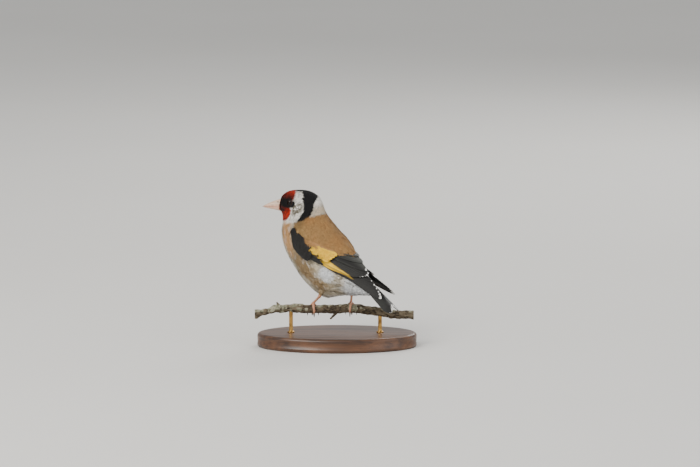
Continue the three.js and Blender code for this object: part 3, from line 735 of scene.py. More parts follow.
def head_colour(own):
    """The head's markings in its own side view, with painted shade under the chin: x forward, z up, the same
    on both sides.
    """
    x = own[..., 0] + 0.45 * noise(own, 2.2, 21) + 0.25 * noise(own, 0.8, 24)
    z = own[..., 2] + 0.45 * noise(own, 2.2, 22) + 0.25 * noise(own, 0.8, 25)
    low_nape = smooth((8.5 - x) / 3) * smooth((104.5 - z) / 5)
    smudge = spot(x, z, (18.8, 99.8), (4.8, 4.6), 25, 0.8) * smooth(0.62 + 2.4 * noise(own, 0.9, 30))
    up = np.clip((z - COLLAR_FOOT) / COLLAR_STEP, 0, 5)
    collar = band(x, through(BAND_BACK, up), through(BAND_FRONT, up), 1.0) * smooth((z - 91.9) / 1.0)
    top = smooth((z - 110.4) / 0.6) * smooth((23.4 - x) / 1.2)
    red_above = spot(x, z, (27.4, 108.0), (6.3, 5.0), -22, 0.22)
    red_below = spot(x, z, (28.3, 96.8), (5.4, 4.9), 0, 0.25)
    lore = smooth((x - 26.0) / 1.5) * band(z, 97.8, 107.0, 1.5)
    red = np.maximum(np.maximum(red_above, red_below), lore)
    dark = np.maximum(0.75 * smooth(0.5 + 1.5 * noise(own, 1.2, 33)), 0.9 * lore)
    shadow = spot(x, z, (26.2, 104.2), (6.0, 4.6), -8, 0.8)
    mask = spot(x, z, (26.0, 103.2), (5.0, 3.1), 6, 0.4)
    gape = spot(x, z, (30.2, 98.6), (2.2, 1.2), 0, 0.6)
    off_middle = smooth((np.abs(own[..., 1]) - 0.8) / 1.2)
    return paint(
        WHITE,
        (0.8 * low_nape, NAPE_BUFF),
        (0.92 * smudge, SMUDGE),
        (0.7 * smooth(1.6 * noise(own, 1.0, 31) - 0.1), GREY_WHITE),
        (np.maximum(collar, top * smooth((x - 6.0) / 1.2)), BLACK),
        (np.maximum(red_above, red_below), RED),
        (lore, RED),
        # painted shade: the red under the bill a little darker, as the chin faces down from the light
        (0.2 * red_below, DARK_RED),
        (red * dark * (1 - 0.6 * smooth((z - 108) / 2)), DARK_RED),
        (0.8 * shadow * red, MASK_BROWN),
        (np.maximum(mask, 0.85 * gape) * off_middle, BLACK),
    )


def plumage_colour(t, angle, own):
    """The head's markings over the line where the neck begins, and the body's below."""
    edge = np.interp(own[..., 0], *HEAD_EDGE)
    over = smooth((own[..., 2] + 0.5 * noise(own, 1.5, 44) - edge) / 1.3 + 0.5)
    return paint(body_colour(t, angle, own), (over * smooth((own[..., 0] + 2.5) / 1.5), head_colour(own)))


# The skin

SKIN_DEPTH, FACE_SKIN_DEPTH = 1.5, 0.75
EYE_AT = np.array([24.1, 6.2, 103.3])
EYE_RADIUS = 2.3

# Each leg's heel and knee in the bird's frame
LEGS = {
    "left": np.array([(-1.2, 8.2, 43.4), (-4.0, 8.4, 52.0)]),
    "right": np.array([(-16.6, -6.5, 43.8), (-12.5, -7.0, 52.0)]),
}
THIGH_RADII = np.array([2.0, 1.8, 1.5, 1.1, 0.8, 0.6])
THIGH_BOXES = {"left": (0.05, 0.02, 0.45, 0.14), "right": (0.55, 0.02, 0.95, 0.14)}


def coat_depth(t):
    """How deep the skin lies under the outline: least on the face."""
    return mix(SKIN_DEPTH, FACE_SKIN_DEPTH, smooth((t - 7.0) / 3.0))


def make_skin():
    t, angle = np.meshgrid(np.linspace(0.05, LAST, 190), ring_of(200)[0] - math.pi, indexing="ij")
    place, normal, own = BODY.look_up(t, angle, "place", "normal", "own")
    piece = Piece()
    # painted shade: the skin under the tufts takes the plumage's colours darkened, as it lies in their shade
    piece.add_rings(place - normal * coat_depth(t)[..., None], plumage_colour(t, angle, own) * 0.7,
                    bake=capped(BODY.bake_place(t, angle)))
    s = np.linspace(0, 1, 16)
    for foot, (heel, knee) in LEGS.items():
        rings = tube(mix(knee, heel, s[:, None]), through(THIGH_RADII, s * 5), 20, hint=(1, 0, 0))
        # painted shade: the thighs' skin a darker flank brown, as it lies under their tufts
        piece.add_rings(rings, FLANK_BROWN * 0.8, bake=ring_map(THIGH_BOXES[foot], 16, 20))
    covered = ["head", "neck", "torso", "thigh_left", "thigh_right"]
    piece.build("skin", PLUMAGE, "body_feathers", covered, ["OFBake"])


# Feathers of the coat: tufts of narrow strips, the barbs, that fan out from the root

# The rows of points along a barb, a tuft's patch on the bake map, and the least speed, in
# millimetres, that a step of t or of the angle counts as
TUFT_ROWS = 4
PATCH_HALF_WIDTH, PATCH_LENGTH = 0.0015, 0.003
SLOWEST = 1.2


def tuft_pattern(barbs):
    """Shares along and across of every point of a tuft, its barb, and its quads."""
    k = np.linspace(-1, 1, barbs)[:, None]
    s = np.linspace(0, 1, TUFT_ROWS)[None, :]
    along = np.repeat((s * (1 - 0.28 * k**2))[..., None], 2, -1)
    middle = k * (0.35 + 0.65 * s**0.7) * (1 - 0.25 * s**3)
    widths = np.interp(s, [0, 0.35, 0.75, 1], [0.9, 1.15, 1.0, 0.35]) * 1.7 / barbs
    across = np.stack([middle - widths, middle + widths], -1)
    strip, row = np.meshgrid(np.arange(barbs), np.arange(TUFT_ROWS - 1), indexing="ij")
    a = (strip * TUFT_ROWS + row).ravel() * 2
    quads = np.stack([a, a + 1, a + 3, a + 2], -1)
    return along.ravel(), across.ravel(), np.repeat(np.arange(barbs), TUFT_ROWS * 2), quads


def spread_quads(quads, copies, size):
    return (quads[None] + (np.arange(copies) * size)[:, None, None]).reshape(-1, 4)


def bake_patch(root, s, across):
    """Each tuft is a small patch at its root's place on the skin's unwrap."""
    patch = np.stack([PATCH_HALF_WIDTH * across * np.ones_like(s), PATCH_LENGTH * (s - 0.5)], -1)
    return root[:, None, :] + patch


class Coat:
    """Where tufts grow on a surface, and how long, wide and high they are, in millimetres.

    Every row has one number for each tuft, as a column.
    """

    def __init__(self, t, angle, length, width, lift, surface=BODY, turn=0.0, depth=None):
        self.surface = surface
        speeds = (np.maximum(v, SLOWEST) for v in surface.look_up(t, angle, "speed_t", "speed_angle"))
        depth = coat_depth(t) if depth is None else depth
        rows = np.broadcast_arrays(t, angle, length, width, lift, turn, depth, *speeds)
        (self.t, self.angle, self.length, self.width, self.lift, self.turn, self.depth,
         self.speed_t, self.speed_angle) = (row[:, None] for row in rows)

    def places(self, ahead, beside):
        """Places so far from the roots, along the tufts and to their side."""
        c, d = np.cos(self.turn), np.sin(self.turn)
        t = self.t - (ahead * c - beside * d) / self.speed_t
        return t, self.angle + (ahead * d + beside * c) / self.speed_angle

    def points(self, pattern, rng, cup, ragged=0.1):
        """Points of every tuft in the bird's frame, and their shares of its length."""
        along, across, strips, _ = pattern
        shape = (len(self.t), strips[-1] + 1)
        s = along * (1 + rng.uniform(-ragged, ragged, shape)[:, strips])
        sway = rng.normal(0, 0.05, shape[0])[:, None] * self.length
        t, angle = self.places(self.length * s, self.width / 2 * across + sway * s)
        place, normal = self.surface.look_up(t, angle, "place", "normal")
        rise = mix(-self.depth, self.lift, np.clip(s, 0, 1) ** 0.75)
        loose = rng.normal(0, 0.05, shape)[:, strips] * self.length * 0.25 * s
        height = rise + loose - cup * self.width * across**2
        return place + normal * height[..., None], s

    def tint(self, s, across, rng, paint_at):
        """The colour of the place where a tuft ends, darker down at its root: painted shade, where the tufts
        over it would shade it.
        """
        t, angle = self.places(0.7 * self.length, 0)
        colour = paint_at(t, angle, self.surface.look_up(t, angle, "own")[0])
        shade = rng.normal(1, 0.06, len(colour))[:, None, None]
        # painted shade: each tuft darker towards its root; the slight darkening along its middle is its
        # shaft's own colour
        depth = mix(0.68, 1.05, smooth(s)) * (1 - 0.06 * np.exp(-((across / 0.12) ** 2)))
        return np.clip(colour * shade, 0, 1) * depth[..., None]


def grow(piece, coat, barbs, rng, paint_at=plumage_colour, cup=0.18):
    pattern = tuft_pattern(barbs)
    _, across, _, quads = pattern
    points, s = coat.points(pattern, rng, cup)
    tint = coat.tint(s, across, rng, paint_at)
    bake = bake_patch(coat.surface.bake_place(coat.t[:, 0], coat.angle[:, 0]), s, across)
    quads = spread_quads(quads, len(coat.t), across.size)
    piece.add(to_world(points), quads, tint.reshape(-1, 3), bake)


def add_free_tufts(piece, start, way, up, size, barbs, colour, bake, rng):
    """Tufts on their own frames, in the bird's frame. size is their length, width and lift."""
    along, across, strips, quads = tuft_pattern(barbs)
    count = len(start)
    length, width, lift = (np.broadcast_to(v, count)[:, None] for v in size)
    s = along * (1 + rng.uniform(-0.1, 0.1, (count, barbs))[:, strips])
    way = unit(way)
    up = unit(up - way * np.sum(up * way, -1, keepdims=True))
    rise = (lift * s - 0.12 * width * across**2)[..., None]
    points = start[:, None] + way[:, None] * (length * s)[..., None] + up[:, None] * rise
    points = points + np.cross(way, up)[:, None] * (width / 2 * across)[..., None]
    # a random tone for each tuft, times painted shade that darkens it towards its root
    shade = rng.normal(1, 0.06, count)[:, None, None] * mix(0.65, 1.05, smooth(s))[..., None]
    tint = np.clip(colour[:, None] * shade, 0, 1).reshape(-1, 3)
    piece.add(to_world(points), spread_quads(quads, count, along.size), tint, bake_patch(bake, s, across))


def roots(surface, t_from, t_to, step, rng):
    """Roots in staggered rows, step(t) apart, thinned where the rows draw together."""
    found = []
    t, row = t_from, 0
    round_it = np.linspace(0, TURN, 361)
    while t < t_to:
        gap = step(t)
        ring, speed = surface.look_up(np.full(361, t), round_it, "place", "speed_t")
        arc = np.concatenate([[0], np.cumsum(np.linalg.norm(np.diff(ring, axis=0), axis=-1))])
        count = int(arc[-1] / gap)
        at = (np.arange(count) + 0.5 * (row % 2) + rng.uniform(-0.3, 0.3, count)) * arc[-1] / count
        angle = np.interp(at % arc[-1], arc, round_it)
        fastest = np.max(speed)
        keep = rng.random(count) < np.interp(angle, round_it, speed) / fastest
        t_here = t + rng.uniform(-0.35, 0.35, count) * gap / fastest
        found.append(np.stack([t_here[keep], angle[keep]], -1))
        t += gap / fastest
        row += 1
    return np.concatenate(found).T


def cad_tree(*names):
    points, polygons = [], []
    for name in names:
        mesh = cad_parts[name].data
        offset = len(points)
        points += [v.co.copy() for v in mesh.vertices]
        polygons += [[offset + i for i in p.vertices] for p in mesh.polygons]
    return BVHTree.FromPolygons(points, polygons)


WINGS = cad_tree("wing_left", "wing_right")
WING_REACH = 14.0 * MM


def under_wing(t, angle):
    """True where the wing lies over the coat."""
    place, normal = BODY.look_up(t, angle, "place", "normal")
    ends, starts = to_world(place + normal), to_world(place)
    return np.array([
        WINGS.ray_cast(Vector(start), Vector(end - start).normalized(), WING_REACH)[0] is not None
        for start, end in zip(starts, ends)
    ])


EYE_CLEAR = 2.05


def from_eye(t, angle):
    """How far places of the coat lie from the nearer eye's middle, seen from the side."""
    own = BODY.look_up(t, angle, "own")[0]
    aside = np.hypot(own[:, 0] - EYE_AT[0], own[:, 2] - EYE_AT[2])
    return np.where(np.abs(own[:, 1]) > 3, aside, 99.0)


def spare_the_eyes(t, angle, length):
    """Drops or shortens the feathers that would lie over an eye."""
    speed = np.maximum(BODY.look_up(t, angle, "speed_t")[0], SLOWEST)
    rooted = from_eye(t, angle) > EYE_CLEAR - 0.1
    for _ in range(5):
        tip = from_eye(t - length / speed, angle)
        length = np.where(tip < EYE_CLEAR, length * 0.8, length)
    return rooted & (tip > EYE_CLEAR - 0.15), length


def make_face_coat():
    """The head, with the smallest feathers at the bill and round the eyes."""
    rng = np.random.default_rng(3)
    t, angle = roots(BODY, 7.9, LAST + 0.2, lambda t: mix(0.60, 0.40, smooth((t - 8.5) / 4)), rng)
    length = mix(3.1, 1.3, smooth((t - 8.5) / 4.5)) * rng.normal(1, 0.08, len(t))
    keep, length = spare_the_eyes(t, angle, length)
    t, angle, length = t[keep], angle[keep], length[keep]
    turn = rng.normal(0, 0.06, len(t))
    half = len(t) // 2
    for name, part in (("nape_feathers", slice(0, half)), ("face_feathers", slice(half, None))):
        piece = Piece()
        coat = Coat(t[part], angle[part], length[part], length[part] * 0.66, 0.04, turn=turn[part])
        grow(piece, coat, 8, rng)
        if name == "face_feathers":
            add_eye_rings(piece, rng)
            add_bristles(piece, rng)
        piece.build(name, PLUMAGE, "head_feathers", maps=["OFBake"])


def nearest_places(own_points):
    """The t and angle of the outline's points nearest to these, before the head's turn."""
    rows = slice(np.searchsorted(BODY.t, 8.0), None, 2)
    grid = BODY.own[rows, ::2].reshape(-1, 3)
    t, angle = np.meshgrid(BODY.t[rows], BODY.angle[::2], indexing="ij")
    found = [np.argmin(((grid - p) ** 2).sum(-1)) for p in own_points]
    return t.ravel()[found], angle.ravel()[found]


# Each ring's radius round the eye, and the length of its feathers
EYE_RINGS = ((1.85, 0.8), (2.15, 0.95), (2.45, 1.1))


def add_eye_rings(piece, rng):
    """Rings of very small feathers round each eye, which point away from it and back."""
    for side in (1, -1):
        for radius, length in EYE_RINGS:
            phi = np.arange(0, TURN, 0.26 / radius) + rng.uniform(0, 0.1)
            ring = np.stack([radius * np.cos(phi), 0 * phi + side * 1.6, radius * np.sin(phi)], -1)
            t, angle = nearest_places(EYE_AT * (1, side, 1) + ring)
            place, normal, own = BODY.look_up(t, angle, "place", "normal", "own")
            away = place - turn_head(EYE_AT * (1, side, 1))
            away = unit(away - normal * np.sum(away * normal, -1, keepdims=True))
            back = turn_head(np.array([NECK[0] - 1.0, 0, 0])) - NECK
            add_free_tufts(piece, place - normal * 0.45, away + 0.5 * back, normal, (length, 0.5, 0.42), 5,
                           plumage_colour(t, angle, own), BODY.bake_place(t, angle), rng)


# Each ring's size, as a share of the bill's root, and the length of its bristles
BRISTLE_RINGS = ((1.0, 1.0), (0.97, 1.25), (0.93, 1.5))
BRISTLE_BOX = (0.02, 0.962, 0.98, 0.99)


def add_bristles(piece, rng):
    """Short bristly feathers that lie forward over the bill's root and its nostrils."""
    for radius, length in BRISTLE_RINGS:
        phi = np.arange(0, TURN, 0.12) + radius
        c, s, one = np.cos(phi), np.sin(phi), np.ones(len(phi))
        wide, high = (BILL_HALF_WIDTH + 0.25) * radius, np.where(s > 0, 5.0, 3.1) * radius
        start = np.stack([(BILL_ROOT_X + 1.1) * one, wide * c, MOUTH_Z - 0.2 + high * s], -1)
        colour = paint(DARK_RED, (0.7 * smooth((s + 0.1) / 0.3), BLACK))
        place = turn_head(start)
        way = turn_head(start + np.stack([one, -0.28 * c, -0.40 * s], -1)) - place
        up = turn_head(start + np.stack([0.3 * one, c, s], -1)) - place
        bake = in_box(BRISTLE_BOX, np.arange(len(phi)) / len(phi), (1.0 - radius) * 10 * one)
        size = (length * rng.normal(1, 0.15, len(phi)), 0.42, 0.12)
        add_free_tufts(piece, place, way, up, size, 6, colour, bake, rng)


REAR_END = 0.9


def make_body_coat():
    """Neck, breast, belly and flanks, with long feathers under the tail's root."""
    rng = np.random.default_rng(4)
    t, angle = roots(BODY, 0.1, 8.5, lambda t: mix(1.0, 0.68, smooth((t - 6) / 2)), rng)
    aside = np.degrees(np.arccos(np.cos(angle)))
    keep = ~(under_wing(t, angle) | ((aside < 70) & (t < 6.2)))
    t, angle, aside = t[keep], angle[keep], aside[keep]
    length = mix(6.4, 3.4, smooth((t - 4.5) / 4)) * rng.normal(1, 0.08, len(t))
    length = length * (1 + 0.45 * smooth((1.4 - t) / 0.8) * smooth((aside - 80) / 30))
    length = np.minimum(length, (t + REAR_END) * BODY.look_up(t, angle, "speed_t")[0])
    fluff = smooth(0.5 + noise(np.stack([t * 3, angle * 5, 0 * t], -1), 1.0, 15))
    lift = mix(0.1, 0.45, smooth((4.6 - t) / 1.5) * fluff)
    turn = rng.normal(0, 0.09, len(t))
    third = len(t) // 3
    for k, name in enumerate(("rear_feathers", "flank_feathers", "breast_feathers")):
        part = slice(k * third, (k + 1) * third if k < 2 else None)
        piece = Piece()
        coat = Coat(t[part], angle[part], length[part], length[part] * 0.64, lift[part], turn=turn[part])
        grow(piece, coat, 13, rng)
        if name == "rear_feathers":
            add_thigh_tufts(piece, rng)
        piece.build(name, PLUMAGE, "body_feathers", maps=["OFBake"])


def add_thigh_tufts(piece, rng):
    """Soft feathers down each thigh, the lowest over the heel."""
    for foot, (heel, knee) in LEGS.items():
        s, phi = np.meshgrid(np.linspace(0.1, 0.86, 17), np.arange(0, TURN, 0.30), indexing="ij")
        phi = phi + 0.15 * (np.arange(17) % 2)[:, None] + rng.uniform(-0.05, 0.05, phi.shape)
        s, phi = s.ravel(), phi.ravel()
        along = unit(heel - knee)
        aside = unit(np.cross(along, (1.0, 0, 0)))
        out = aside * np.cos(phi)[:, None] + np.cross(along, aside) * np.sin(phi)[:, None]
        start = mix(knee, heel, s[:, None]) + out * (through(THIGH_RADII, s * 5) - 0.3)[:, None]
        flank = (1 if foot == "left" else -1) * 2.35
        colour = plumage_colour(np.full(len(s), 3.0), np.full(len(s), flank), start)
        length = mix(4.4, 1.7, s) * rng.normal(1, 0.14, len(s))
        way = along + out * (0.05 - 0.3 * s)[:, None] + np.array([-0.06, 0, 0])
        bake = in_box(THIGH_BOXES[foot], s, (phi / TURN) % 1)
        add_free_tufts(piece, start, way, out, (length, length * 0.45, 0.27), 11, colour, bake, rng)


def make_mantle():
    """Back and shoulder feathers, which lie over the wing's upper edge."""
    rng = np.random.default_rng(5)
    t, angle = roots(CLOAK, 1.9, 7.4, lambda t: 0.95, rng)
    angle = (angle + math.pi) % TURN - math.pi
    aside = np.degrees(np.abs(angle))
    edge = through(LIP_AT, np.clip(t - 2, 0, 5))
    keep = aside < edge - 2 + rng.uniform(-2, 2, len(t))
    t, angle, aside, edge = t[keep], angle[keep], aside[keep], edge[keep]
    near_edge = smooth((aside - edge + 24) / 24)
    length = mix(6.0, 7.4, near_edge) * mix(1, 0.7, smooth((t - 5.5) / 2)) * rng.normal(1, 0.07, len(t))
    low = smooth((3.2 - t) / 0.7)
    turn = np.sign(angle) * 0.12 * near_edge + rng.normal(0, 0.05, len(t))
    lift = mix(0.2, 2.4, low * (1 - near_edge))
    piece = Piece()
    grow(piece, Coat(t, angle, length * (1 + 0.35 * low), length * 0.62, lift, CLOAK, turn), 13, rng)
    piece.build("mantle_feathers", PLUMAGE, "body_feathers", maps=["OFBake"])


# Solid vanes: the flight and tail feathers and the large coverts

VANE_THICKNESS = 0.14


class Vanes:
    """Feathers on a shell, from root to tip (p, q). Each value is one number or a row of them."""

    def __init__(self, count, bow=0, **values):
        self.count = count
        for name, value in dict(values, bow=bow).items():
            setattr(self, name, np.broadcast_to(np.asarray(value, float), count))


def vane_half_width(s, blunt):
    swell = np.minimum(1, 0.55 + 0.9 * s)
    past = np.maximum(0, (s - (1 - blunt)) / blunt)
    return swell * np.sqrt(np.maximum(0.0, 1 - past**2))


def vane_quads(rows, columns):
    """Quads of a thin solid, upper face, lower face and rim, and the points they are mapped by."""
    size = rows * columns
    upper = grid_quads(rows, columns)
    rim = np.concatenate([
        np.arange(columns),
        np.arange(1, rows) * columns + columns - 1,
        (rows - 1) * columns + np.arange(columns - 2, -1, -1),
        np.arange(rows - 2, 0, -1) * columns,
    ])
    after = np.roll(rim, -1)
    return tuple(
        np.concatenate([upper, upper[:, ::-1] + size, np.stack([after, rim, rim + drop, after + drop], -1)])
        for drop in (size, 0)
    )


def add_vanes(piece, vanes, place, side, tint_at, box, rows=44, columns=13, blunt=0.3, shaft_at=-0.25):
    """Thin closed feathers with a raised shaft, and colours by tint_at(p, q, s, c, i).

    box is their place on the bake map: the upper faces in its lower half, the others above.
    """
    i, s, c = np.meshgrid(np.arange(vanes.count), 1 - np.linspace(1, 0, rows) ** 1.8,
                          np.linspace(-1, 1, columns), indexing="ij")
    half = vanes.width[i] / 2 * np.maximum(vane_half_width(s, blunt), 0.04)
    wave = 0.10 * np.sin(9 * s + 2.1 * i) * np.abs(c) ** 3
    p = mix(vanes.root_p[i], vanes.tip_p[i], s) + wave - 0.35 * half * c**2
    q = mix(vanes.root_q[i], vanes.tip_q[i], s) + vanes.bow[i] * np.sin(math.pi * s) + half * c
    shaft = 0.16 * np.exp(-(((c - shaft_at) / 0.10) ** 2)) * (1 - 0.6 * s)
    h = mix(vanes.root_h[i], vanes.tip_h[i], smooth(s)) + shaft - 0.12 * c**2
    under = h - VANE_THICKNESS * (1 - 0.6 * np.abs(c))
    shape = (vanes.count, rows * columns)
    points = np.concatenate([place(p, q, height, side).reshape(*shape, 3) for height in (h, under)], 1)
    tint = tint_at(p, q, s, c, i).reshape(*shape, 3)
    length = np.abs(vanes.tip_p - vanes.root_p)[i] * s
    vane = np.stack([length + 7.3 * i, half * (c - shaft_at)], -1).reshape(*shape, 2)
    across = (i + 0.05 + 0.45 * (c + 1)) / vanes.count
    bake = [in_box(box, across, up).reshape(*shape, 2) for up in (0.48 * s, 0.52 + 0.48 * s)]
    solid, mapped = (spread_quads(quads, vanes.count, 2 * shape[1]) for quads in vane_quads(rows, columns))
    # the lower faces take the upper ones' colours darkened: painted shade on the feathers' undersides
    piece.add(to_world(points), solid, np.concatenate([tint, tint * 0.8], 1).reshape(-1, 3),
              np.concatenate(bake, 1), np.concatenate([vane, vane], 1), mapped)


STRIPE_FROM, STRIPE_STEP = 34, 6
STRIPE_LOW = np.array([-7.4, -7.3, -6.6, -5.6, -4.9])
STRIPE_HIGH = np.array([-1.0, -2.6, -3.6, -4.1, -4.4])


def wing_base_colour(p, q):
    """The closed wing's black and yellow by place on it."""
    t = np.clip((p - STRIPE_FROM) / STRIPE_STEP, 0, 4)
    stripe = band(q, through(STRIPE_LOW, t), through(STRIPE_HIGH, t), 0.5)
    return paint(WING_BLACK, (stripe * band(p, 33, 58.5, 1.5), YELLOW))


# Each kind's white tips in millimetres, its length, how grey its edges are, and how strong the painted sheen
# on its upper side is
TIPS = {
    "primary": ((2.4, 1.6, 1.5, 1.1, 1.0, 1.1, 0.8, 0.7), 55.0, 0.3, 0.35),
    "secondary": ((0.5, 0.8, 1.0, 0.6, 1.1, 0.8), 35.0, 0.6, 0.35),
    "tertial": ((0.9, 0.5, 0.3), 26.0, 0.6, 0.8),
}
FAR_TIP_SCALE = 1.6


def flight_tint(kind, side):
    sizes, length, edge_grey, upper_sheen = TIPS[kind]
    sizes = np.array(sizes) * (1 if side > 0 else FAR_TIP_SCALE)

    def tint(p, q, s, c, i):
        left = (1 - s) * length + 1.1 * np.abs(c - 0.3) ** 1.5
        return paint(
            wing_base_colour(p, q),
            # painted sheen: the upper part of the folded wing greyer towards the tips, as sky light glances
            # off it; the grey edges below are the feathers' own
            (smooth((q - 2.5) / 5.0) * upper_sheen * smooth((s - 0.3) / 0.3), WING_GREY),
            (smooth((np.abs(c) - 0.80) / 0.15) * edge_grey * smooth((s - 0.35) / 0.1), WING_GREY),
            (smooth((sizes[i] - left) / 0.3 + 0.5), TIP_WHITE),
        )

    return tint


def primaries():
    """The outermost is the longest and lies lowest; the inner ones step back from its tip."""
    i = np.arange(8)
    t = i / 7
    return Vanes(8, root_p=20 + 2.0 * i, root_q=-5.4 + 0.35 * i, tip_p=WING_LENGTH + 0.8 - 13.0 * t**1.25,
                 tip_q=-1.6 + 5.2 * t**1.1, width=5.2, bow=-1.6 + t, root_h=-2.4, tip_h=-2.0 + 0.24 * i)


def secondaries():
    i = np.arange(6)
    return Vanes(6, root_p=27 + 0.8 * i, root_q=-3.6 + 1.0 * i, tip_p=[60.2, 61.4, 62.2, 62.8, 63.4, 63.0],
                 tip_q=-1.8 + 1.25 * i, width=5.8, root_h=-1.4, tip_h=-0.1 + 0.2 * i)


def tertials(side):
    """The near wing's three reach up over the rump, where the far wing's are tucked under."""
    i = np.arange(3)
    tip_p, tip_q, rise = (61.4 - 3.6 * i, 5.2 + 3.1 * i, 1.3 + 0.35 * i)
    if side < 0:
        tip_p, tip_q, rise = (58.5 - 5.2 * i, 5.2 + 2.0 * i, 1.1 + 0.3 * i)
    return Vanes(3, root_p=32.0 + i, root_q=2.4 + 1.6 * i, tip_p=tip_p, tip_q=tip_q, width=8.4, bow=0.6,
                 root_h=-0.6, tip_h=rise)


def wing_core(side):
    """The folded arm under the coverts, run on as a blade under the flight feathers."""
    s, angle = np.linspace(0, 1, 60)[:, None], ring_of(36)
    front = 0.16
    full = np.where(s < front, np.sqrt(1 - 0.97 * np.clip(1 - s / front, 0, 1) ** 2), 1)
    blade = smooth((s - 0.28) / 0.4)
    top, deep = full * mix(0.55, -1.6, blade), full * mix(-4.6, -2.6, blade)
    middle = mix(-3.2, 1.2, smooth((s - 0.45) / 0.55))
    rise = np.sin(angle)
    h = mix((top + deep) / 2, np.where(rise > 0, top, deep), np.abs(rise))
    return wing_place(mix(-2.4, 60, s), middle + full * mix(5.2, 2.4, blade) * np.cos(angle), h, side)


class WingSurface:
    """Places on the wing's outer face, as the coat's surfaces give them, with t for -p."""

    P_FROM, P_TO, Q_FROM, Q_TO = -3, 60, -10, 14

    def __init__(self, side):
        self.p = np.linspace(self.P_FROM, self.P_TO, 253)
        self.q = np.linspace(self.Q_FROM, self.Q_TO, 97)
        p, q = np.meshgrid(self.p, self.q, indexing="ij")
        self.place = wing_place(p, q, 0.0, side)
        self.normal = unit(wing_place(p, q, 1.0, side) - self.place)
        self.own = np.stack([p, q, 0 * p], -1)
        self.speed_t = self.speed_angle = np.ones_like(p)

    def look_up(self, t, angle, *names):
        i = (np.clip(-t, self.P_FROM, self.P_TO) - self.P_FROM) / (self.p[1] - self.p[0])
        j = (np.clip(angle, self.Q_FROM, self.Q_TO) - self.Q_FROM) / (self.q[1] - self.q[0])
        return between([getattr(self, name) for name in names], i, j)

    def bake_place(self, t, angle):
        """Its own unwrap: along the wing across, and across the wing up."""
        along = np.clip((-t - self.P_FROM) / (self.P_TO - self.P_FROM), 0, 1)
        across = np.clip((angle - self.Q_FROM) / (self.Q_TO - self.Q_FROM), 0, 1)
        return np.stack([0.03 + 0.94 * along, 0.03 + 0.94 * across], -1)


# Across the wing, q by p: where the back's brown begins, and the yellow's lower edge
BROWN_EDGE = ([14, 18, 21, 24, 28, 31, 34, 37, 41, 46], [4, 2, 0.6, -0.3, 0.7, 1.9, 2.7, 3, 4.2, 6])
YELLOW_FOOT = ([24, 28, 31, 34, 37, 40, 46], [-2.7, -2.9, -3.1, -3.4, -4.4, -6, -8])


def beside_yellow(p, q):
    """How far places of the wing lie over the brown's edge, and over the yellow's foot."""
    return q - np.interp(p, *BROWN_EDGE), q - np.interp(p, *YELLOW_FOOT)


def back_brown(own):
    return paint(BROWN, (smooth(0.5 + noise(own, 3.0, 43)), WARM_BROWN))


def covert_colour(t, angle, own):
    """Coverts by place: black at the shoulder and along the front edge, yellow between."""
    p, q = own[..., 0], own[..., 1]
    wobble = 0.6 * noise(own + 40, 1.7, 40)
    over_brown, over_foot = beside_yellow(p, q)
    yellow = smooth((p - 24.6 - 0.4 * q + wobble) / 1.0) * smooth((over_foot - 0.1 + wobble) / 0.8)
    gold = paint(YELLOW, (0.4 * smooth(2 * noise(own + 9, 1.1, 41)), DEEP_YELLOW))
    brown = smooth((over_brown + 0.2 + 0.5 * wobble) / 0.6)
    return paint(WING_BLACK * 1.25, (yellow, gold), (brown, back_brown(own)))


def wing_coverts(side):
    """Rows of small feathers on the shoulder, black in front and yellow behind."""
    rng = np.random.default_rng(7)
    p, q = np.meshgrid(np.arange(-2.2, 37.6, 0.9), np.arange(-8.0, 4.2, 0.75), indexing="ij")
    p = p + 0.45 * (np.arange(p.shape[1]) % 2) + rng.uniform(-0.2, 0.2, p.shape)
    q = q + rng.uniform(-0.15, 0.15, q.shape)
    p, q = p.ravel(), q.ravel()
    edge = np.sqrt(np.clip(1 - np.clip((4 - p) / 6.6, 0, 1) ** 2, 0.0, 1)) * 5.0
    shoulder = (np.abs(q + 3.0) < edge + 0.2) & (p < 23.5)
    low = np.interp(p, [22, 27, 32, 38], [-2.4, -2.9, -2.6, -1.4])
    high = np.interp(p, [23, 30, 38], [1.2, 2.0, 3.4])
    behind = (p >= 23.5) & (q > low) & (q < high) & (p < 34.6 + 0.75 * np.maximum(q, 0))
    p, q = p[shoulder | behind], q[shoulder | behind]
    length = mix(3.4, 6.0, smooth(p / 22)) * rng.normal(1, 0.07, len(p))
    lift = mix(0.9, 1.35, smooth(p / 20))
    piece = Piece()
    grow(piece, Coat(-p, q, length, length * 0.6, lift, WingSurface(side), depth=0.1), 11, rng,
         covert_colour, cup=0.10)
    return piece


def yellow_tint(p, q, s, c, i):
    over_brown, over_foot = beside_yellow(p, q)
    brown = smooth((over_brown - 0.1) / 0.5) * (1 - smooth((p - 40) / 1.5))
    return paint(
        YELLOW,
        (0.5 * smooth((np.abs(c) - 0.6) / 0.3), DEEP_YELLOW),
        (1 - smooth((over_foot + 0.3) / 0.6), WING_BLACK),
        (brown, back_brown(np.stack([p, q, 0 * p], -1))),
    )


def black_tint(p, q, s, c, i):
    return paint(WING_BLACK, (0.4 * smooth((np.abs(c) - 0.75) / 0.2), WING_GREY))


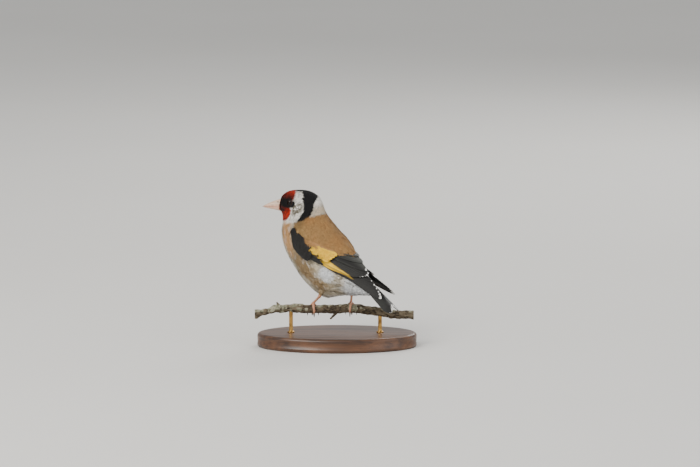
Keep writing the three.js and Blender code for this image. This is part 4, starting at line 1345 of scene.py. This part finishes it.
def greater_coverts(side):
    """The yellow ones, and two rows of black ones along the wing's front edge."""
    i, j, k = np.arange(9), np.arange(8), np.arange(3)
    yellow = Vanes(9, root_p=24.5 - 1.5 * i / 8, root_q=-3.2 + 0.75 * i,
                   tip_p=39.4 + 3.4 * i / 8 + 0.4 * np.sin(3.0 * i), tip_q=-3.2 + 0.82 * i,
                   width=3.0, root_h=0.3, tip_h=0.72 + 0.05 * i)
    black = Vanes(8, root_p=14.0 + 0.6 * j, root_q=-6.6 + 0.4 * j, tip_p=37.5 - 1.5 * j,
                  tip_q=-6.4 + 0.5 * j, width=2.6, root_h=-0.8, tip_h=-0.4 + 0.16 * j)
    front = Vanes(3, root_p=9.0 + k, root_q=-6.4 + 0.8 * k, tip_p=28.0 - 3.4 * k,
                  tip_q=-6.6 + 1.1 * k, width=2.9, root_h=0.1, tip_h=0.6 + 0.25 * k)
    piece = Piece()
    add_vanes(piece, yellow, wing_place, side, yellow_tint, (0.02, 0.02, 0.98, 0.4), 16, 9, 0.28)
    for vanes, low, high in ((black, 0.42, 0.7), (front, 0.72, 0.98)):
        add_vanes(piece, vanes, wing_place, side, black_tint, (0.02, low, 0.98, high), 14, 7, 0.35)
    return piece


def make_wing(name, side):
    flight = Piece()
    flight.add_rings(wing_core(side), WING_BLACK, bake=ring_map((0.02, 0.01, 0.98, 0.09), 60, 36))
    for vanes, kind, blunt, low, high in (
        (primaries(), "primary", 0.2, 0.11, 0.5),
        (secondaries(), "secondary", 0.16, 0.52, 0.77),
        (tertials(side), "tertial", 0.3, 0.79, 0.99),
    ):
        box = (0.02, low, 0.98, high)
        add_vanes(flight, vanes, wing_place, side, flight_tint(kind, side), box, blunt=blunt)
    both = ["OFBake", "Vane"]
    flight.build(f"flight_feathers_{name}", VANES, "wing_feathers", [f"wing_{name}"], both)
    greater_coverts(side).build(f"greater_coverts_{name}", VANES, "wing_feathers", maps=both)
    wing_coverts(side).build(f"lesser_coverts_{name}", WING_COAT, "wing_feathers", maps=["OFBake"])


def make_tail():
    """Six pairs of feathers, the middle pair on top, and the root they grow from."""
    piece = Piece()
    pair = np.arange(6)
    notch = TAIL_FORK * (1 - pair / 5) ** 1.4 + np.where(pair == 5, 0.8, 0)
    for side, left, right, drop in ((1, 0.02, 0.49, 0), (-1, 0.51, 0.98, 0.12)):
        vanes = Vanes(6, root_p=0, root_q=side * (0.5 + 0.35 * pair), tip_p=TAIL_SHOWN - notch,
                      tip_q=side * (1.1 + 0.86 * pair), width=5.6, root_h=-0.24 * pair,
                      tip_h=-0.24 * pair - drop)
        add_vanes(piece, vanes, tail_place, 1, tail_tint, (left, 0.12, right, 0.98), blunt=0.12,
                  shaft_at=-0.2 * side)
    s, angle = np.linspace(0, 1, 12)[:, None], ring_of(24)
    q, h = mix(3.4, 2.4, s) * np.cos(angle), mix(2.2, 0.4, s) * np.sin(angle) - 0.9
    root = tail_place(mix(-1, 13, s), q, h)
    piece.add_rings(root, WING_BLACK, bake=ring_map((0.02, 0.01, 0.98, 0.1), 12, 24))
    piece.build("tail_feathers", VANES, "tail_feathers", ["tail"], ["OFBake", "Vane"])


TAIL_TIPS = np.array([1.7, 1.4, 1.2, 1.0, 0.8, 0.6])


def tail_tint(p, q, s, c, i):
    """Black with grey edges and a white end, whose inner side runs further up."""
    left = (1 - s) * TAIL_SHOWN + 1.3 * np.abs(c + 0.3) ** 1.4 + 0.5 * np.sin(5.0 * c + 2.0 * i)
    return paint(
        WING_BLACK,
        (0.6 * smooth((np.abs(c) - 0.78) / 0.15), WING_GREY),
        (smooth((TAIL_TIPS[i] - left) / 0.3 + 0.5), TIP_WHITE),
    )


# The head's bare parts

MOUTH_Z = 100.2
BILL_ROOT_X = 29.6
BILL_LENGTH = 12.4
BILL_HALF_WIDTH = 3.3
NOSTRIL = np.array([32.9, 2.0, MOUTH_Z + 2.9])
HORN, HORN_PINK = linear(234, 202, 176), linear(212, 132, 102)
# The second colour is painted shade for the nostril's opening.
HORN_DARK, NOSTRIL_SHADE = linear(108, 80, 68), linear(62, 40, 34)


def mandible(height, length, upwards):
    """Half of the bill, from the root to the tip, with its cutting edge drawn a little in."""
    s = np.linspace(0, 1, 90)[:, None]
    angle = np.linspace(0, math.pi, 60)[None, :]
    taper = np.maximum(0.02, (1 - s) ** 0.82)
    wide = BILL_HALF_WIDTH * np.maximum(0.02, (1 - s) ** 0.9)
    x = BILL_ROOT_X + (length + 1.6) * s + 0 * angle
    mouth = MOUTH_Z + upwards * 0.06 - 0.5 * (1 - s) ** 3 - 0.7 * s
    y = wide * np.cos(angle) * (1 - 0.06 * np.exp(-((np.sin(angle) / 0.12) ** 2)))
    ridge = 0.1 * np.exp(-(((angle - math.pi / 2) / 0.12) ** 2))
    return np.stack([x, y, mouth + upwards * taper * (height * np.sin(angle) ** 0.85 + ridge)], -1)


def horn_colour(rings, upwards):
    s = np.linspace(0, 1, len(rings))[:, None]
    edge = np.exp(-(np.abs(rings[..., 2] - MOUTH_Z + 0.4) / 0.9))
    nostril = np.linalg.norm((rings - NOSTRIL) * (1, 0, 1) / (0.62, 1, 0.34), axis=-1)
    return paint(
        HORN,
        (0.55 * edge, HORN_PINK),
        (0.35 * (1 - smooth(s / 0.3)), HORN_PINK),
        (0.22 * smooth(noise(rings * (0.35, 1.4, 1.4), 0.8, 90) * 1.5), HORN_DARK),
        (0.28 * np.exp(-((rings[..., 1] / 0.5) ** 2)), HORN_DARK),
        # painted shade: the nostril's opening dark over its small pit
        (max(0, upwards) * 0.9 * (1 - smooth((nostril - 0.8) / 0.4)), NOSTRIL_SHADE),
        (0.5 * smooth((s - 0.88) / 0.12), HORN_DARK),
    )


def make_bill():
    for name, height, length, upwards in (
        ("bill_upper", 5.75, BILL_LENGTH, 1),
        ("bill_lower", 3.0, BILL_LENGTH - 0.8, -1),
    ):
        rings = mandible(height, length, upwards)
        for side in (1, -1) if upwards > 0 else ():
            far = np.linalg.norm((rings - NOSTRIL * (1, side, 1)) / (0.8, 1.4, 0.5), axis=-1)
            rings = rings - np.array([0, side * 0.45, 0.1]) * (1 - smooth(far))[..., None]
        piece = Piece()
        piece.add_rings(turn_head(rings), horn_colour(rings, upwards))
        piece.build(name + "_horn", BILL, "bill_horn", [name])


def eye_rings(side, theta, phi, radius):
    """Rings round the way the eye looks: theta from it, phi from forward, at this radius."""
    out = unit(np.array([0.16, side, 0.05]))
    up = unit(np.array([0, 0, 1]) - out * out[2])
    forward = np.cross(up, out) * side
    forward = forward * np.sign(forward[0])
    r, d = radius * np.sin(theta), radius * np.cos(theta)
    parts = (out * d[..., None], forward * (r * np.cos(phi))[..., None], up * (r * np.sin(phi))[..., None])
    return turn_head(EYE_AT * (1, side, 1) + sum(parts))


def make_eye(name, side):
    theta, phi = np.linspace(0.004, math.pi, 60)[:, None], ring_of(64)
    radius = EYE_RADIUS - 0.05 + 0.10 * np.exp(-((theta / 0.55) ** 2))
    pupil = 1 - smooth((np.degrees(theta) - 26) / 4)
    piece = Piece()
    piece.add_rings(eye_rings(side, theta, phi, radius), paint(linear(44, 26, 16), (pupil, linear(6, 5, 5))))
    piece.build(f"eyeball_{name}", EYE, "eye", [f"eye_{name}"])


def make_lids(name, side):
    """The two lids: a thin skin over the ball, with a beaded rim round an almond opening."""
    phi, across = ring_of(96), np.linspace(0, 1, 26)[:, None]
    opening = np.radians(47.5 + 3.5 * np.cos(2 * phi) + 1.5 * np.cos(phi))
    theta = mix(opening, math.radians(84), across)
    rim = np.exp(-((across / 0.12) ** 2))
    beads = 1 + 0.25 * np.cos(26 * phi) * rim
    height = 0.10 + 0.24 * rim * beads + 0.10 * np.exp(-(((across - 0.3) / 0.12) ** 2))
    height = height * smooth(across / 0.03 + 0.3) - 0.5 * smooth((across - 0.75) / 0.25)
    shell = eye_rings(side, theta, phi, EYE_RADIUS + height)
    rings = np.concatenate([eye_rings(side, theta, phi, EYE_RADIUS - 0.3)[::-1], shell])
    rows, sides = rings.shape[:2]
    j = np.arange(sides)
    k, last = (j + 1) % sides, (rows - 1) * sides
    join = np.stack([last + j, last + k, k, j], -1)
    piece = Piece()
    piece.add(to_world(rings), np.concatenate([grid_quads(rows, sides, True), join]), linear(38, 34, 34))
    piece.build(f"lids_{name}", LID, "head_feathers")


# Legs and feet, in the twig's frame: x along it, heights over the datum

# The twig's x, its height over the axis, and its radius
TWIG = np.array([
    [-53.6, -2.9, 2.9], [-51.2, -2.6, 2.7], [-48.4, -2.0, 2.0], [-44.6, -1.2, 2.05],
    [-40.0, 0.5, 2.7], [-35.4, 0.6, 2.5], [-31.2, 0.9, 2.35], [-26.0, 0.8, 3.0],
    [-21.5, 0.4, 2.85], [-16.0, 0.3, 2.75], [-10.0, 0.2, 2.7], [-3.0, 0.2, 2.8],
    [4.0, 0.7, 2.95], [9.0, 0.8, 2.95], [14.5, 0.4, 3.1], [21.0, -0.6, 2.9],
    [27.5, -1.5, 2.9], [34.5, -2.9, 2.85], [41.0, -3.4, 2.75], [50.0, -3.7, 2.8],
])
# Each knot's x, y, height over the twig's middle, and radius
KNOTS = [
    (-39.0, 2.2, 0.4, 2.0),
    (-26.0, 1.3, -0.9, 2.5),
    (-46.5, -1.0, 1.0, 1.5),
    (18.5, 1.6, -0.6, 2.0),
    (46.0, 1.0, 0.5, 2.3),
]
# Each thorn's start and end over the twig's axis, and its radius
THORNS = [
    ((0, 0, -1.6), (-4.4, -1.6, -6.0), 1.0),
    ((-37, 0, 2), (-39.4, 1.2, 4.5), 0.9),
    ((30, 1, 0), (33.0, 4.6, 1.0), 1.0),
]
FOOT_X = {"left": -15.6, "right": 9.1}
TARSUS_RADIUS = 0.80
TOE_RADIUS = 0.70
TOES = {
    "hind": dict(stout=1.2, length=7.4, claw=6.0, curve=8, way=-1, drift=-0.7),
    "inner": dict(stout=1.0, length=7.6, claw=4.2, curve=5, way=1, drift=-3.4),
    "middle": dict(stout=1.0, length=10.6, claw=4.6, curve=5, way=1, drift=0.5),
    "outer": dict(stout=1.0, length=8.2, claw=4.0, curve=5, way=1, drift=3.6),
}
SCUTE_PITCH, PAD_PITCH, JOINT_PITCH = 0.75, 3.4, 3.2
LEG_SKIN, LEG_SEAM, PAD_SKIN = linear(204, 146, 114), linear(138, 90, 68), linear(210, 148, 122)
CLAW_PALE, CLAW_DARK = linear(182, 136, 110), linear(92, 68, 56)


def twig_at(x):
    """The twig's height and radius at places along it."""
    x = np.asarray(x, float)
    i = np.clip(np.searchsorted(TWIG[:, 0], x, side="right"), 1, len(TWIG) - 1)
    t = i - 1 + (x - TWIG[i - 1, 0]) / (TWIG[i, 0] - TWIG[i - 1, 0])
    return TWIG_AXIS_Z + through(TWIG[:, 1], t), through(TWIG[:, 2], t)


def toe_path(foot, toe, steps):
    length = np.linspace(0.2, toe["length"], steps)
    outwards = -1 if foot == "left" else 1
    x = FOOT_X[foot] + outwards * toe["drift"] * smooth(length / toe["length"])
    z, radius = twig_at(x)
    r = radius + GAP + TOE_RADIUS - 0.1
    angle = toe["way"] * length / r
    return np.stack([x, r * np.sin(angle), z + r * np.cos(angle)], -1)


def claw_path(path, toe, steps):
    end = path[-1]
    along = unit(end - path[-2])
    inwards = np.array([end[0], 0, float(twig_at(end[0])[0])]) - end
    inwards = unit(inwards - along * (inwards @ along))
    turn = np.linspace(-0.5, toe["claw"], steps)[:, None] / toe["curve"]
    return end + along * toe["curve"] * np.sin(turn) + inwards * toe["curve"] * (1 - np.cos(turn))


def scutes(length, height, way):
    """Relief of overlapping plates on one side of a toe or shank, and of pads on the other."""
    def relief(s, angle):
        tooth = (s * length / SCUTE_PITCH) % 1.0
        plate = smooth(tooth / 0.2) * (1 - 0.6 * smooth((tooth - 0.5) / 0.5))
        upper = smooth(0.5 + 1.2 * np.sin(angle) * way)
        return 1 + height * plate * upper + 0.06 * np.sin(s * length * TURN / PAD_PITCH) * (1 - upper)
    return relief



def skin_colour(s):
    return paint(LEG_SKIN, (0.6 * np.exp(-((((s * 20) % 1.0 - 0.06) / 0.10) ** 2)), LEG_SEAM))


def ball_ways(rows, sides):
    """Unit vectors all round, in rings from the top down."""
    theta, phi = np.linspace(0.02, math.pi - 0.02, rows)[:, None], ring_of(sides)
    return np.stack([np.sin(theta) * np.cos(phi), np.sin(theta) * np.sin(phi), np.cos(theta) + 0 * phi], -1)


def make_foot(foot):
    z, radius = twig_at(FOOT_X[foot])
    pad = np.array([FOOT_X[foot], 0, float(z + radius) + GAP + 0.75])
    piece = Piece()
    piece.add_rings(pad + ball_ways(20, 24) * (1.05, 1.05, 0.95), PAD_SKIN, perch_to_world)
    s, u = np.linspace(0, 1, 60), np.linspace(0, 1, 26)
    for name, toe in TOES.items():
        path = toe_path(foot, toe, len(s))
        joints = 1 + 0.07 * np.cos(s * toe["length"] * TURN / JOINT_PITCH)
        tip = np.where(s > 0.96, np.sqrt(np.clip(1 - ((s - 0.96) / 0.05) ** 2, 0.1, 1)), 1)
        radii = TOE_RADIUS * toe["stout"] * mix(1.05, 0.74, s) * joints * tip
        rings = tube(path, radii, 20, hint=(1, 0, 0), relief=scutes(toe["length"], 0.12, 1))
        piece.add_rings(rings, skin_colour(s * toe["length"] / 15)[:, None], perch_to_world)
        radii = toe["stout"] * mix(0.55, 0.06, u**1.1)
        rings = tube(claw_path(path, toe, len(u)), radii, 16, hint=(1, 0, 0))
        horn = Piece()
        horn.add_rings(rings, paint(CLAW_PALE, (smooth(u / 0.5), CLAW_DARK))[:, None], perch_to_world)
        horn.build(f"{name}_claw_{foot}", CLAW, "claw_horn", [f"claw_{name}_{foot}"])
    piece.build(f"toes_{foot}", LEG, "leg_skin", [f"foot_{foot}"])
    make_shank(foot, pad)


def make_shank(foot, pad):
    """From inside the thigh to the heel, bent there, and down to the foot."""
    heel, knee = LEGS[foot]
    low, top = to_bird(pad), heel + unit(knee - heel) * 2.0
    s = np.linspace(0, 1, 90)
    bend = 0.12
    path = np.where(s[:, None] < bend, top + (heel - top) * (s / bend)[:, None],
                    heel + (low - heel) * ((s - bend) / (1 - bend))[:, None])
    padded = np.pad(path, ((4, 4), (0, 0)), mode="edge")
    path = np.stack([np.convolve(padded[:, k], np.ones(9) / 9, mode="valid") for k in range(3)], -1)
    swell = np.interp(s, [0, bend, 0.3, 0.6, 0.85, 1], [1.2, 1.35, 0.95, 0.88, 0.98, 1.2])
    rings = tube(path, TARSUS_RADIUS * swell, 24, hint=(0, 1, 0), relief=scutes(15, 0.09, -1))
    piece = Piece()
    piece.add_rings(rings, skin_colour(s)[:, None])
    piece.build(f"tarsus_{foot}", LEG, "leg_skin", [f"shank_{foot}"])


# The twig and the stand

BARK_BASE, BARK_PALE, BARK_DARK = linear(92, 80, 63), linear(122, 110, 90), linear(48, 40, 32)
LICHEN, LICHEN_DARK, CUT_WOOD = linear(164, 160, 138), linear(126, 126, 104), linear(156, 132, 100)


def twig_rings():
    x, angle = np.linspace(TWIG[0, 0], TWIG[-1, 0], 560)[:, None], ring_of(96)
    z, radius = twig_at(x)
    calm = np.minimum(*(smooth((np.abs(x - foot) - 3) / 4) for foot in FOOT_X.values()))
    ribs = 0.16 * np.sin(3 * angle + x * 0.35) + 0.13 * np.sin(5 * angle - x * 0.8) + 0.12 * np.sin(x * 1.3)
    r = radius + calm * ribs
    shape = np.stack([x + 0 * angle, r * np.cos(angle), r * np.sin(angle)], -1)
    fissures = np.abs(layered_noise(shape * (0.28, 1.0, 1.0), 1.1, 3, 51))
    cover = layered_noise(shape, 4.0, 3, 54) + 0.22 * np.sin(angle) + 0.3 * smooth((-18 - x) / 12) - 0.22
    moss = smooth(cover / 0.2)
    crust = moss * (0.5 + 0.5 * noise(shape, 0.9, 53))
    lumps = layered_noise(shape, 2.4, 3, 52)
    detail = 0.26 * lumps - 0.32 * (1 - smooth(fissures / 0.16)) + 0.34 * crust
    r = r + detail * mix(0.35, 1.0, calm) - 0.05
    points = np.stack([x + 0 * angle, r * np.cos(angle), z + r * np.sin(angle)], -1)
    return points, bark_colour(points, fissures, moss * smooth(crust / 0.35))


def bark_colour(points, fissures, crusted=0):
    lichen = paint(LICHEN, (smooth(0.5 + 1.5 * noise(points, 1.1, 62)), LICHEN_DARK))
    return paint(
        BARK_BASE,
        (smooth(0.5 + layered_noise(points, 3.0, 3, 61)), BARK_PALE),
        # darker in the fissures: partly the darker bark inside them, partly painted shade in the cracks
        (1 - smooth(fissures / 0.2), BARK_DARK),
        (crusted, lichen),
    )


def make_perch():
    piece = Piece()
    rings, colour = twig_rings()
    piece.add_rings(rings, colour, perch_to_world, ends=CUT_WOOD)
    for k, (x, y, up, radius) in enumerate(KNOTS):
        ways = ball_ways(28, 40)
        rough = 1 + 0.14 * layered_noise(ways * 2.0 + k, 0.8, 3, 70)
        rings = (x, y, float(twig_at(x)[0]) + up) + ways * (radius * rough)[..., None]
        piece.add_rings(rings, bark_colour(rings, 0.3), perch_to_world)
    for k, (start, end, radius) in enumerate(THORNS):
        s = np.linspace(0, 1, 40)
        path = mix(np.array(start), np.array(end), s[:, None]) + (0, 0, TWIG_AXIS_Z)
        rings = tube(path, radius * mix(1, 0.6, s), 28, hint=(0, 1, 0))
        rough = layered_noise(rings, 0.9, 3, 80 + k)
        rings = path[:, None] + (rings - path[:, None]) * (1 + 0.22 * rough)[..., None]
        piece.add_rings(rings, bark_colour(rings, np.abs(rough)), perch_to_world, ends=CUT_WOOD)
    piece.build("twig", BARK, "bark", ["perch"])


BASE_HALF_LENGTH, BASE_HALF_WIDTH, BASE_HEIGHT = 52.0, 32.0, 9.0
BASE_ROUNDING = 2.0
ROD_AT = (-30.0, 28.0)
ROD_RADIUS = 1.3


def stand_to_world(points):
    return points * MM


def make_base():
    """An oval plinth with a rounded top edge and a small step at its foot."""
    bend = np.linspace(0, math.pi / 2, 9)
    inset = np.concatenate([[0.9, 0.0, 0.0, 0.0, 0.25], BASE_ROUNDING * (1 - np.cos(bend))])
    height = np.concatenate([[0.0, 0.9, 2.0, 2.3, 2.45], BASE_HEIGHT - BASE_ROUNDING * (1 - np.sin(bend))])
    angle = ring_of(180)[0]
    rings = [np.stack([(BASE_HALF_LENGTH - d) * np.cos(angle), (BASE_HALF_WIDTH - d) * np.sin(angle),
                       0 * angle + z], -1) for d, z in zip(inset, height)]
    rings += [rings[-1] * (share, share, 1) for share in (0.9, 0.6, 0.3)]
    piece = Piece()
    piece.add_rings(np.array(rings), (1, 1, 1), stand_to_world)
    piece.build("base", WOOD, "base_wood", ["stand_base"])


def make_rods():
    for k, x in enumerate(ROD_AT, start=1):
        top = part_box(f"stand_rod_{k}")[1][2] / MM
        foot = [(0.05, -0.2), (2.3, -0.2), (2.35, 0.5), (2.1, 0.8), (1.5, 0.95), (ROD_RADIUS, 1.3)]
        head = [(ROD_RADIUS, -0.6), (ROD_RADIUS, 0.5), (0.9, 0.6), (0.05, 0.6)]
        profile = [(r, BASE_HEIGHT + z) for r, z in foot] + [(r, top + z) for r, z in head]
        r, z = (row[:, None] for row in np.array(profile).T)
        angle = ring_of(48)
        rings = np.stack([x + r * np.cos(angle), r * np.sin(angle), z + 0 * angle], -1)
        piece = Piece()
        piece.add_rings(rings, (1, 1, 1), stand_to_world)
        piece.build(f"rod_{k}", BRASS, "rod_brass", [f"stand_rod_{k}"])


# Stage, light and camera, in metres

FLOOR_HALF = 14.0
LIT_POINT = (0, 0, 0.06)


def make_stage():
    mesh = bpy.data.meshes.new("floor")
    corners = [(x * FLOOR_HALF, y * FLOOR_HALF, 0) for x, y in ((-1, -1), (1, -1), (1, 1), (-1, 1))]
    mesh.from_pydata(corners, [], [(0, 1, 2, 3)])
    floor = bpy.data.objects.new("floor", mesh)
    bpy.context.scene.collection.objects.link(floor)
    mesh.materials.append(floor_material())
    world = bpy.data.worlds.new("studio")
    world.use_nodes = True
    background = world.node_tree.nodes["Background"].inputs
    background["Color"].default_value = (0.87, 0.87, 0.865, 1)
    background["Strength"].default_value = 0.66
    bpy.context.scene.world = world


def area_light(name, place, size, power, colour):
    data = bpy.data.lights.new(name, "AREA")
    data.shape = "DISK"
    data.size, data.energy, data.color = size, power, colour
    light = bpy.data.objects.new(name, data)
    light.location = place
    light.rotation_euler = (Vector(LIT_POINT) - Vector(place)).to_track_quat("-Z", "Y").to_euler()
    bpy.context.scene.collection.objects.link(light)


def make_lights():
    area_light("key", (-0.75, -0.9, 1.15), 0.9, 21.0, (1.0, 0.968, 0.92))
    area_light("fill", (1.1, -0.7, 0.6), 1.2, 4.5, (0.93, 0.96, 1.0))
    area_light("back", (0.5, 1.1, 0.9), 0.8, 8.0, (1.0, 0.98, 0.95))


def make_camera():
    """The photo's framing: the view's middle in millimetres, seen from 8 degrees above."""
    aim = Vector((8.45, 0.0, 74.0)) * MM
    elevation = math.radians(8)
    distance, field = 3.0, 0.455
    data = bpy.data.cameras.new("camera")
    data.sensor_width = 36
    data.lens = data.sensor_width * distance / field
    data.clip_end = 100
    camera = bpy.data.objects.new("camera", data)
    camera.location = aim + Vector((0, -math.cos(elevation), math.sin(elevation))) * distance
    camera.rotation_euler = (aim - camera.location).to_track_quat("-Z", "Y").to_euler()
    bpy.context.scene.collection.objects.link(camera)
    bpy.context.scene.camera = camera


make_camera()
make_stage()
make_lights()
make_skin()
make_face_coat()
make_body_coat()
make_mantle()
for name, side in (("left", 1), ("right", -1)):
    make_wing(name, side)
make_tail()
make_bill()
for name, side in (("left", 1), ("right", -1)):
    make_eye(name, side)
    make_lids(name, side)
for name in FOOT_X:
    make_foot(name)
make_perch()
make_base()
make_rods()
